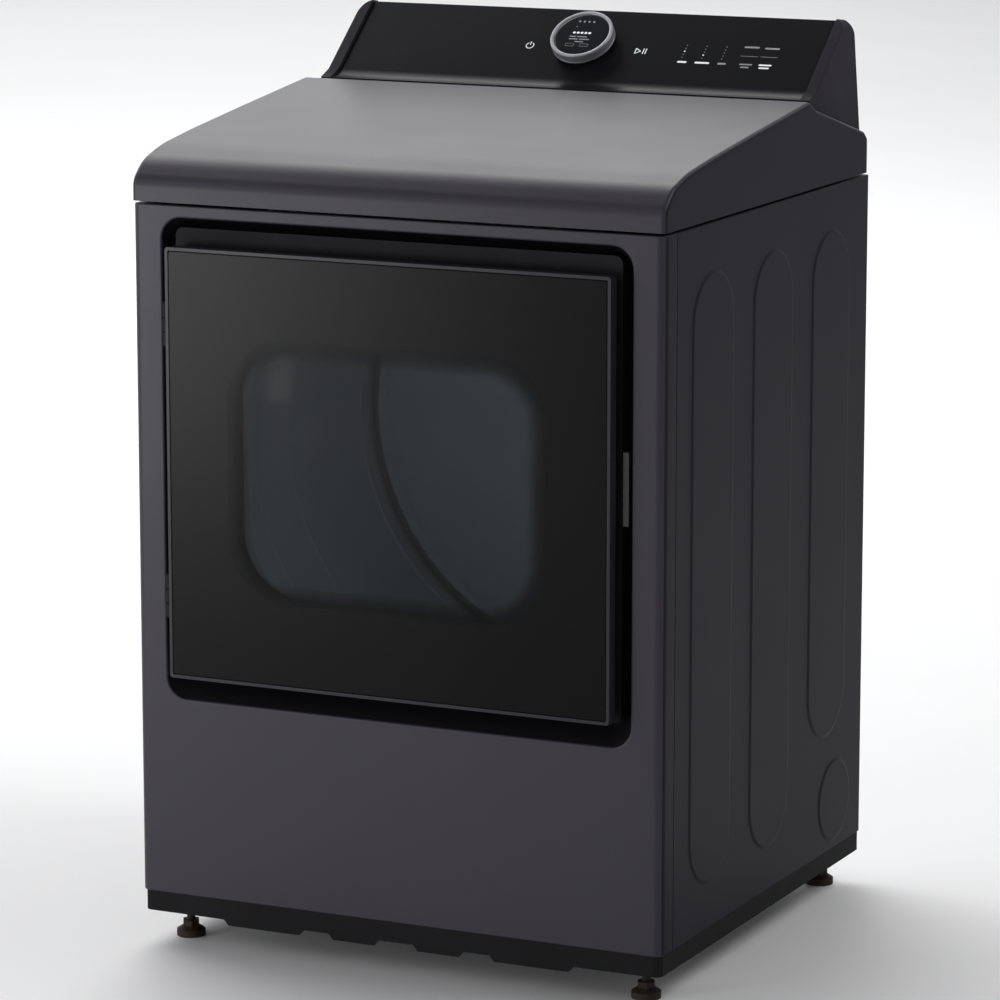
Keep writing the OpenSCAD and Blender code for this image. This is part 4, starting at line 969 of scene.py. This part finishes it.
GLASS_EDGE = 1.1 * MM
GLASS_R = 3.2 * MM
WINDOW_R = 80 * MM
WINDOW_INSET = 1.2 * MM
WINDOW_FADE = 26 * MM


def make_door_glass():
    """Glass pane with rounded front edges; its clear window lies over the inner pane."""
    lo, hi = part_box("door_glass")
    sections = [(GLASS_EDGE * (1 - math.sin(a)), lo.y + GLASS_EDGE * (1 - math.cos(a))) for a in arc(4)]
    sections.append((0.0, hi.y))
    loops = []
    for inset, y in sections:
        w, h = hi.x - lo.x - 2 * inset, hi.z - lo.z - 2 * inset
        loops.append([(x, y, z) for x, z in round_rect(0, (lo.z + hi.z) / 2, w, h, GLASS_R - inset, 6)])
    mesh = mesh_from("door_glass.pane", *loft(loops, cap_start=True, cap_end=True))
    outward(mesh)
    lo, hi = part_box("door_window")
    half_w, half_h = (hi.x - lo.x) / 2 - WINDOW_INSET, (hi.z - lo.z) / 2 - WINDOW_INSET
    mat = door_glass_material("door_glass", half_w, half_h, WINDOW_R, (lo.z + hi.z) / 2, WINDOW_FADE)
    return smooth(new_object("door_glass.pane", mesh, mat, "door", ["door_glass"]))


def make_window_pane():
    obj = refined("door_window", 0.5 * MM)
    shader = obj.data.materials[0].node_tree.nodes["Principled BSDF"]
    shader.inputs["Alpha"].default_value = PANE_OPACITY
    return obj


# ---------------- drum

DRUM_WALL = 1.2 * MM
DRUM_STEPS = 220
BEAD_DEPTH = 1.6 * MM
# Share of the drum's length, and half width in millimetres
BEADS = ((0.16, 5), (0.34, 5), (0.52, 5), (0.90, 4))


def bead_dip(y, length):
    """How far the wall is rolled inwards at a distance y along the drum."""
    dip = 0.0
    for share, half in BEADS:
        d = (y - share * length) / (half * MM)
        if abs(d) < 1:
            dip = max(dip, 0.5 * (1 + math.cos(math.pi * d)) * BEAD_DEPTH)
    return dip


def make_drum():
    """Stainless drum wall with rolled beads."""
    lo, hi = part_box("drum")
    outer = (hi.x - lo.x) / 2
    length = hi.y - lo.y
    stations = [k / DRUM_STEPS * length for k in range(DRUM_STEPS + 1)]
    wall = [(outer - bead_dip(y, length), y) for y in stations]
    profile = wall + [(r - DRUM_WALL, y) for r, y in reversed(wall)]
    turn = Matrix.Translation((0, lo.y, (lo.z + hi.z) / 2)) @ Matrix.Rotation(-math.pi / 2, 4, "X")
    return lathe("drum.shell", profile, turn, mats["stainless"], "drum", ["drum"], steps=144)


# ---------------- lint filter

# Square holes with bars between them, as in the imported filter
HOLE_PITCH, HOLE_SIZE, HOLES_FROM = 20 * MM, 14 * MM, 12 * MM
FACE_T, FLOOR_T, END_T = 2 * MM, 8 * MM, 8 * MM
RIM_STEP, RIM_EDGE = 3.5 * MM, 1.5 * MM
TAB_HALF, TAB_INSET, TAB_RISE, RIM_HEIGHT = 45 * MM, 4 * MM, 17 * MM, 4 * MM
WIRE_PITCH, WIRE_R = 2.5 * MM, 0.22 * MM
# Small setbacks that keep neighbouring faces out of one plane
HAIR = 0.1 * MM


def slab(bm, x, y, z):
    """Closed box from three (low, high) pairs in metres."""
    corner = [bm.verts.new((x[i], y[j], z[k])) for i in (0, 1) for j in (0, 1) for k in (0, 1)]
    for ids in ((0, 1, 3, 2), (4, 6, 7, 5), (0, 4, 5, 1), (2, 3, 7, 6), (0, 2, 6, 4), (1, 5, 7, 3)):
        bm.faces.new([corner[i] for i in ids])


def slabs(name, boxes, mat, nodes=()):
    """One piece of the filter made of boxes."""
    bm = bmesh.new()
    for x, y, z in boxes:
        slab(bm, sorted(x), sorted(y), sorted(z))
    return new_object(name, mesh_of(bm, name), mat, "filter", nodes)


def make_filter():
    """Two faces of square holes with a woven screen in each, a rim and a pull tab at the top."""
    lo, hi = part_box("lint_filter")
    half = hi.x - RIM_STEP
    front, back = lo.y + RIM_EDGE, hi.y - RIM_EDGE
    rim_top = hi.z - TAB_RISE
    rim_low = rim_top - RIM_HEIGHT
    low = lo.z + HOLES_FROM
    rows = int((rim_low - low) / HOLE_PITCH)
    columns = int(half / HOLE_PITCH)
    bar_half = (HOLE_PITCH - HOLE_SIZE) / 2
    side = columns * HOLE_PITCH - bar_half
    high = low + rows * HOLE_PITCH - 2 * bar_half
    bars = [((lo.x, hi.x), (lo.y, hi.y), (rim_low, rim_top)),
            ((-TAB_HALF, TAB_HALF), (front + TAB_INSET, back - TAB_INSET), (rim_top, hi.z)),
            ((3 * HAIR - half, half - 3 * HAIR), (front + 3 * HAIR, back - 3 * HAIR),
             (lo.z + 2 * HAIR, lo.z + FLOOR_T))]
    bars += [((s * (half - END_T), s * (half - 2 * HAIR)), (front + 2 * HAIR, back - 2 * HAIR),
              (lo.z + HAIR, rim_low)) for s in (-1, 1)]
    wires = []
    for near, far, wire in ((front, front + FACE_T, front + MM), (back - FACE_T, back, back - MM)):
        bars += [((-half, half), (near, far), ends) for ends in ((lo.z, low), (high, rim_low))]
        bars += [((s * side, s * half), (near, far), (low, high)) for s in (-1, 1)]
        for k in range(1, rows):
            z = low + k * HOLE_PITCH - bar_half
            bars.append(((-side, side), (near + HAIR, far - HAIR), (z - bar_half, z + bar_half)))
        for k in range(1 - columns, columns):
            x = k * HOLE_PITCH
            bars.append(((x - bar_half, x + bar_half), (near + 3 * HAIR, far - 3 * HAIR), (low, high)))
        for k in range(1, int(2 * side / WIRE_PITCH)):
            x = k * WIRE_PITCH - side
            wires.append(((x - WIRE_R, x + WIRE_R), (wire - WIRE_R, wire + WIRE_R), (low, high)))
        flat = WIRE_R * 0.9
        for k in range(1, int((high - low) / WIRE_PITCH)):
            z = low + k * WIRE_PITCH
            wires.append(((-side, side), (wire - flat, wire + flat), (z - WIRE_R, z + WIRE_R)))
    body = slabs("lint_filter.frame", bars, mats["white_plastic"], ["lint_filter"])
    bevelled(body, 0.5 * MM)
    apply_modifiers(body)
    slabs("lint_filter.screen", wires, screen_mat)
    return smooth(body)


# ---------------- fasteners

SCREW_R = 4.4 * MM
SCREW_SIDE, SCREW_END = 11 * MM, 20 * MM
SCREWS_A_SIDE = 5
# Share of the head's radius, and height above the sheet in millimetres
SCREW_PROFILE = ((0.0, -1.0), (1.3, -1.0), (1.3, 0.7), (1.15, 1.1), (0.95, 1.2), (0.92, 2.6),
                 (0.8, 3.0), (0.3, 3.1), (0.22, 2.1), (0.0, 2.0))


def make_rear_screws():
    """Screws down both sides of the rear panel: a flange, a raised round head and a round recess."""
    lo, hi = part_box("rear_panel")
    turn = Vector((0, 1, 0)).to_track_quat("Z", "Y").to_matrix().to_4x4()
    profile = [(share * SCREW_R, h * MM) for share, h in SCREW_PROFILE]
    pitch = (hi.z - lo.z - 2 * SCREW_END) / (SCREWS_A_SIDE - 1)
    places = [(x, hi.y, lo.z + SCREW_END + k * pitch)
              for x in (lo.x + SCREW_SIDE, hi.x - SCREW_SIDE) for k in range(SCREWS_A_SIDE)]
    for i, place in enumerate(places):
        lathe(f"rear_screw_{i + 1}", profile, Matrix.Translation(place) @ turn, screw_mat, "cabinet",
              steps=24, angle=30.0)


# ---------------- build

make_front_panel()
make_top_cover()
make_door_glass()
make_window_pane()
make_drum()
make_filter()
make_side_panel(-1, "side_panel_left")
make_side_panel(1, "side_panel_right")
make_knob_ring()
make_knob_display()
make_key_marks()
make_lamp_marks()
make_rear_screws()

remade = {
    "front_panel", "top_cover", "door_glass", "door_window", "drum", "lint_filter",
    "side_panel_left", "side_panel_right", "knob_ring", "knob_display",
}
# Rounding of the other nodes' edges, in millimetres
SMALL_EDGE = 0.5
edge_widths = {
    "control_fascia": 0.9, "end_cap_left": 2.2, "end_cap_right": 2.2, "door_frame": 1.1,
    "door_carrier": 1.4, "base_pan": 1.2, "door_inner_panel": 1.5, "side_grip": 0.9,
    "drum_baffles": 4.0, "front_bulkhead": 0.4, "rear_bulkhead": 0.4, "rear_panel": 0.3,
    "heater_housing": 0.4, "exhaust_pipe": 0.3, "terminal_cover": 0.4, "knob_collar": 0.5,
    "roller_axles": 0.4, "motor_body": 2.0, "lint_duct": 0.8, "blower_housing": 0.8,
}
node_mats = {"drum_baffles": baffle_mat, "rear_bulkhead": inner_wall_mat}
for node in frame["nodes"]:
    if node not in remade:
        refined(node, edge_widths.get(node, SMALL_EDGE) * MM, node_mats.get(node))


# ---------------- stage

FLOOR_SIZE = 60.0


def make_floor():
    bm = bmesh.new()
    bmesh.ops.create_grid(bm, x_segments=4, y_segments=4, size=FLOOR_SIZE)
    mesh = mesh_of(bm, "floor")
    made = Paint("floor_pale", (0.92, 0.92, 0.92), 0.6, 0.0, specular=0.2)
    made.vary_color(made.noise(1.5, 3.0), 0.99, 1.01)
    mesh.materials.append(made.mat)
    floor = bpy.data.objects.new("floor", mesh)
    bpy.context.scene.collection.objects.link(floor)


def soft_light(name, place, target, size, power, color=(1.0, 1.0, 1.0)):
    data = bpy.data.lights.new(name, "AREA")
    data.shape = "RECTANGLE"
    data.size, data.size_y = size
    data.energy = power
    data.color = color
    light = bpy.data.objects.new(name, data)
    light.location = place
    light.rotation_euler = (Vector(target) - Vector(place)).to_track_quat("-Z", "Y").to_euler()
    bpy.context.scene.collection.objects.link(light)


def studio_world():
    """Soft surround: bright low down behind and to the left, darker overhead and to the right."""
    world = bpy.data.worlds.new("studio")
    world.use_nodes = True
    tree = world.node_tree
    background = tree.nodes["Background"]
    coord = tree.nodes.new("ShaderNodeTexCoord")
    split = tree.nodes.new("ShaderNodeSeparateXYZ")
    tree.links.new(coord.outputs["Generated"], split.inputs[0])

    def ranged(socket, low, high, at_low, at_high):
        made = tree.nodes.new("ShaderNodeMapRange")
        made.interpolation_type = "SMOOTHSTEP"
        for name, value in (("From Min", low), ("From Max", high), ("To Min", at_low), ("To Max", at_high)):
            made.inputs[name].default_value = value
        tree.links.new(socket, made.inputs["Value"])
        return made.outputs[0]

    def product(a, b):
        made = tree.nodes.new("ShaderNodeMath")
        made.operation = "MULTIPLY"
        tree.links.new(a, made.inputs[0])
        tree.links.new(b, made.inputs[1])
        return made.outputs[0]

    height = ranged(split.outputs["Z"], 0.42, 0.80, 1.0, 0.14)
    side = ranged(split.outputs["X"], -0.2, 0.6, 1.0, 0.45)
    depth = ranged(split.outputs["Y"], -0.9, 0.4, 0.6, 1.0)
    tree.links.new(product(product(height, side), depth), background.inputs["Strength"])
    background.inputs["Color"].default_value = (0.97, 0.97, 1.0, 1.0)
    bpy.context.scene.world = world


def make_lights():
    studio_world()
    aim = (0.0, 0.0, 0.6)
    soft_light("back_softbox", (-3.4, 3.0, 5.0), (-3.2, 3.2, 0.0), (4.0, 6.0), 335.0)
    soft_light("right_top_softbox", (2.6, 0.6, 3.4), (0.6, 0.2, 0.0), (1.8, 1.8), 45.0)
    soft_light("far_softbox", (-6.5, 10.5, 5.0), (-6.5, 10.5, 0.0), (8.0, 8.0), 240.0)
    soft_light("front_softbox", (-3.4, -3.2, 2.4), aim, (2.0, 2.0), 20.0)
    soft_light("low_softbox", (-2.3, -3.4, 0.46), (-0.3, -0.35, 0.8), (0.9, 0.85), 42.0)
    soft_light("drum_lamp", (0.16, -0.185, 0.74), (-0.12, 0.25, 0.62), (0.10, 0.06), 0.85, (0.86, 0.95, 1.0))


CAMERA_AZIMUTH, CAMERA_ELEVATION = math.radians(25.442), math.radians(10.98)
CAMERA_AIM = Vector((-0.0136, 0.0, 0.517))
CAMERA_DISTANCE = 5.769
CAMERA_LENS = 169.6


def make_camera():
    """Long lens from the right of the front, a little above, as the photograph shows the dryer."""
    level = math.cos(CAMERA_ELEVATION)
    forward = Vector((-math.sin(CAMERA_AZIMUTH) * level, math.cos(CAMERA_AZIMUTH) * level,
                      -math.sin(CAMERA_ELEVATION)))
    data = bpy.data.cameras.new("camera")
    data.sensor_width = 36.0
    data.lens = CAMERA_LENS
    data.clip_end = 500.0
    camera = bpy.data.objects.new("camera", data)
    camera.location = CAMERA_AIM - forward * CAMERA_DISTANCE
    camera.rotation_euler = forward.to_track_quat("-Z", "Y").to_euler()
    bpy.context.scene.collection.objects.link(camera)
    bpy.context.scene.camera = camera


make_floor()
make_lights()
make_camera()
bpy.context.scene.view_settings.view_transform = "Standard"
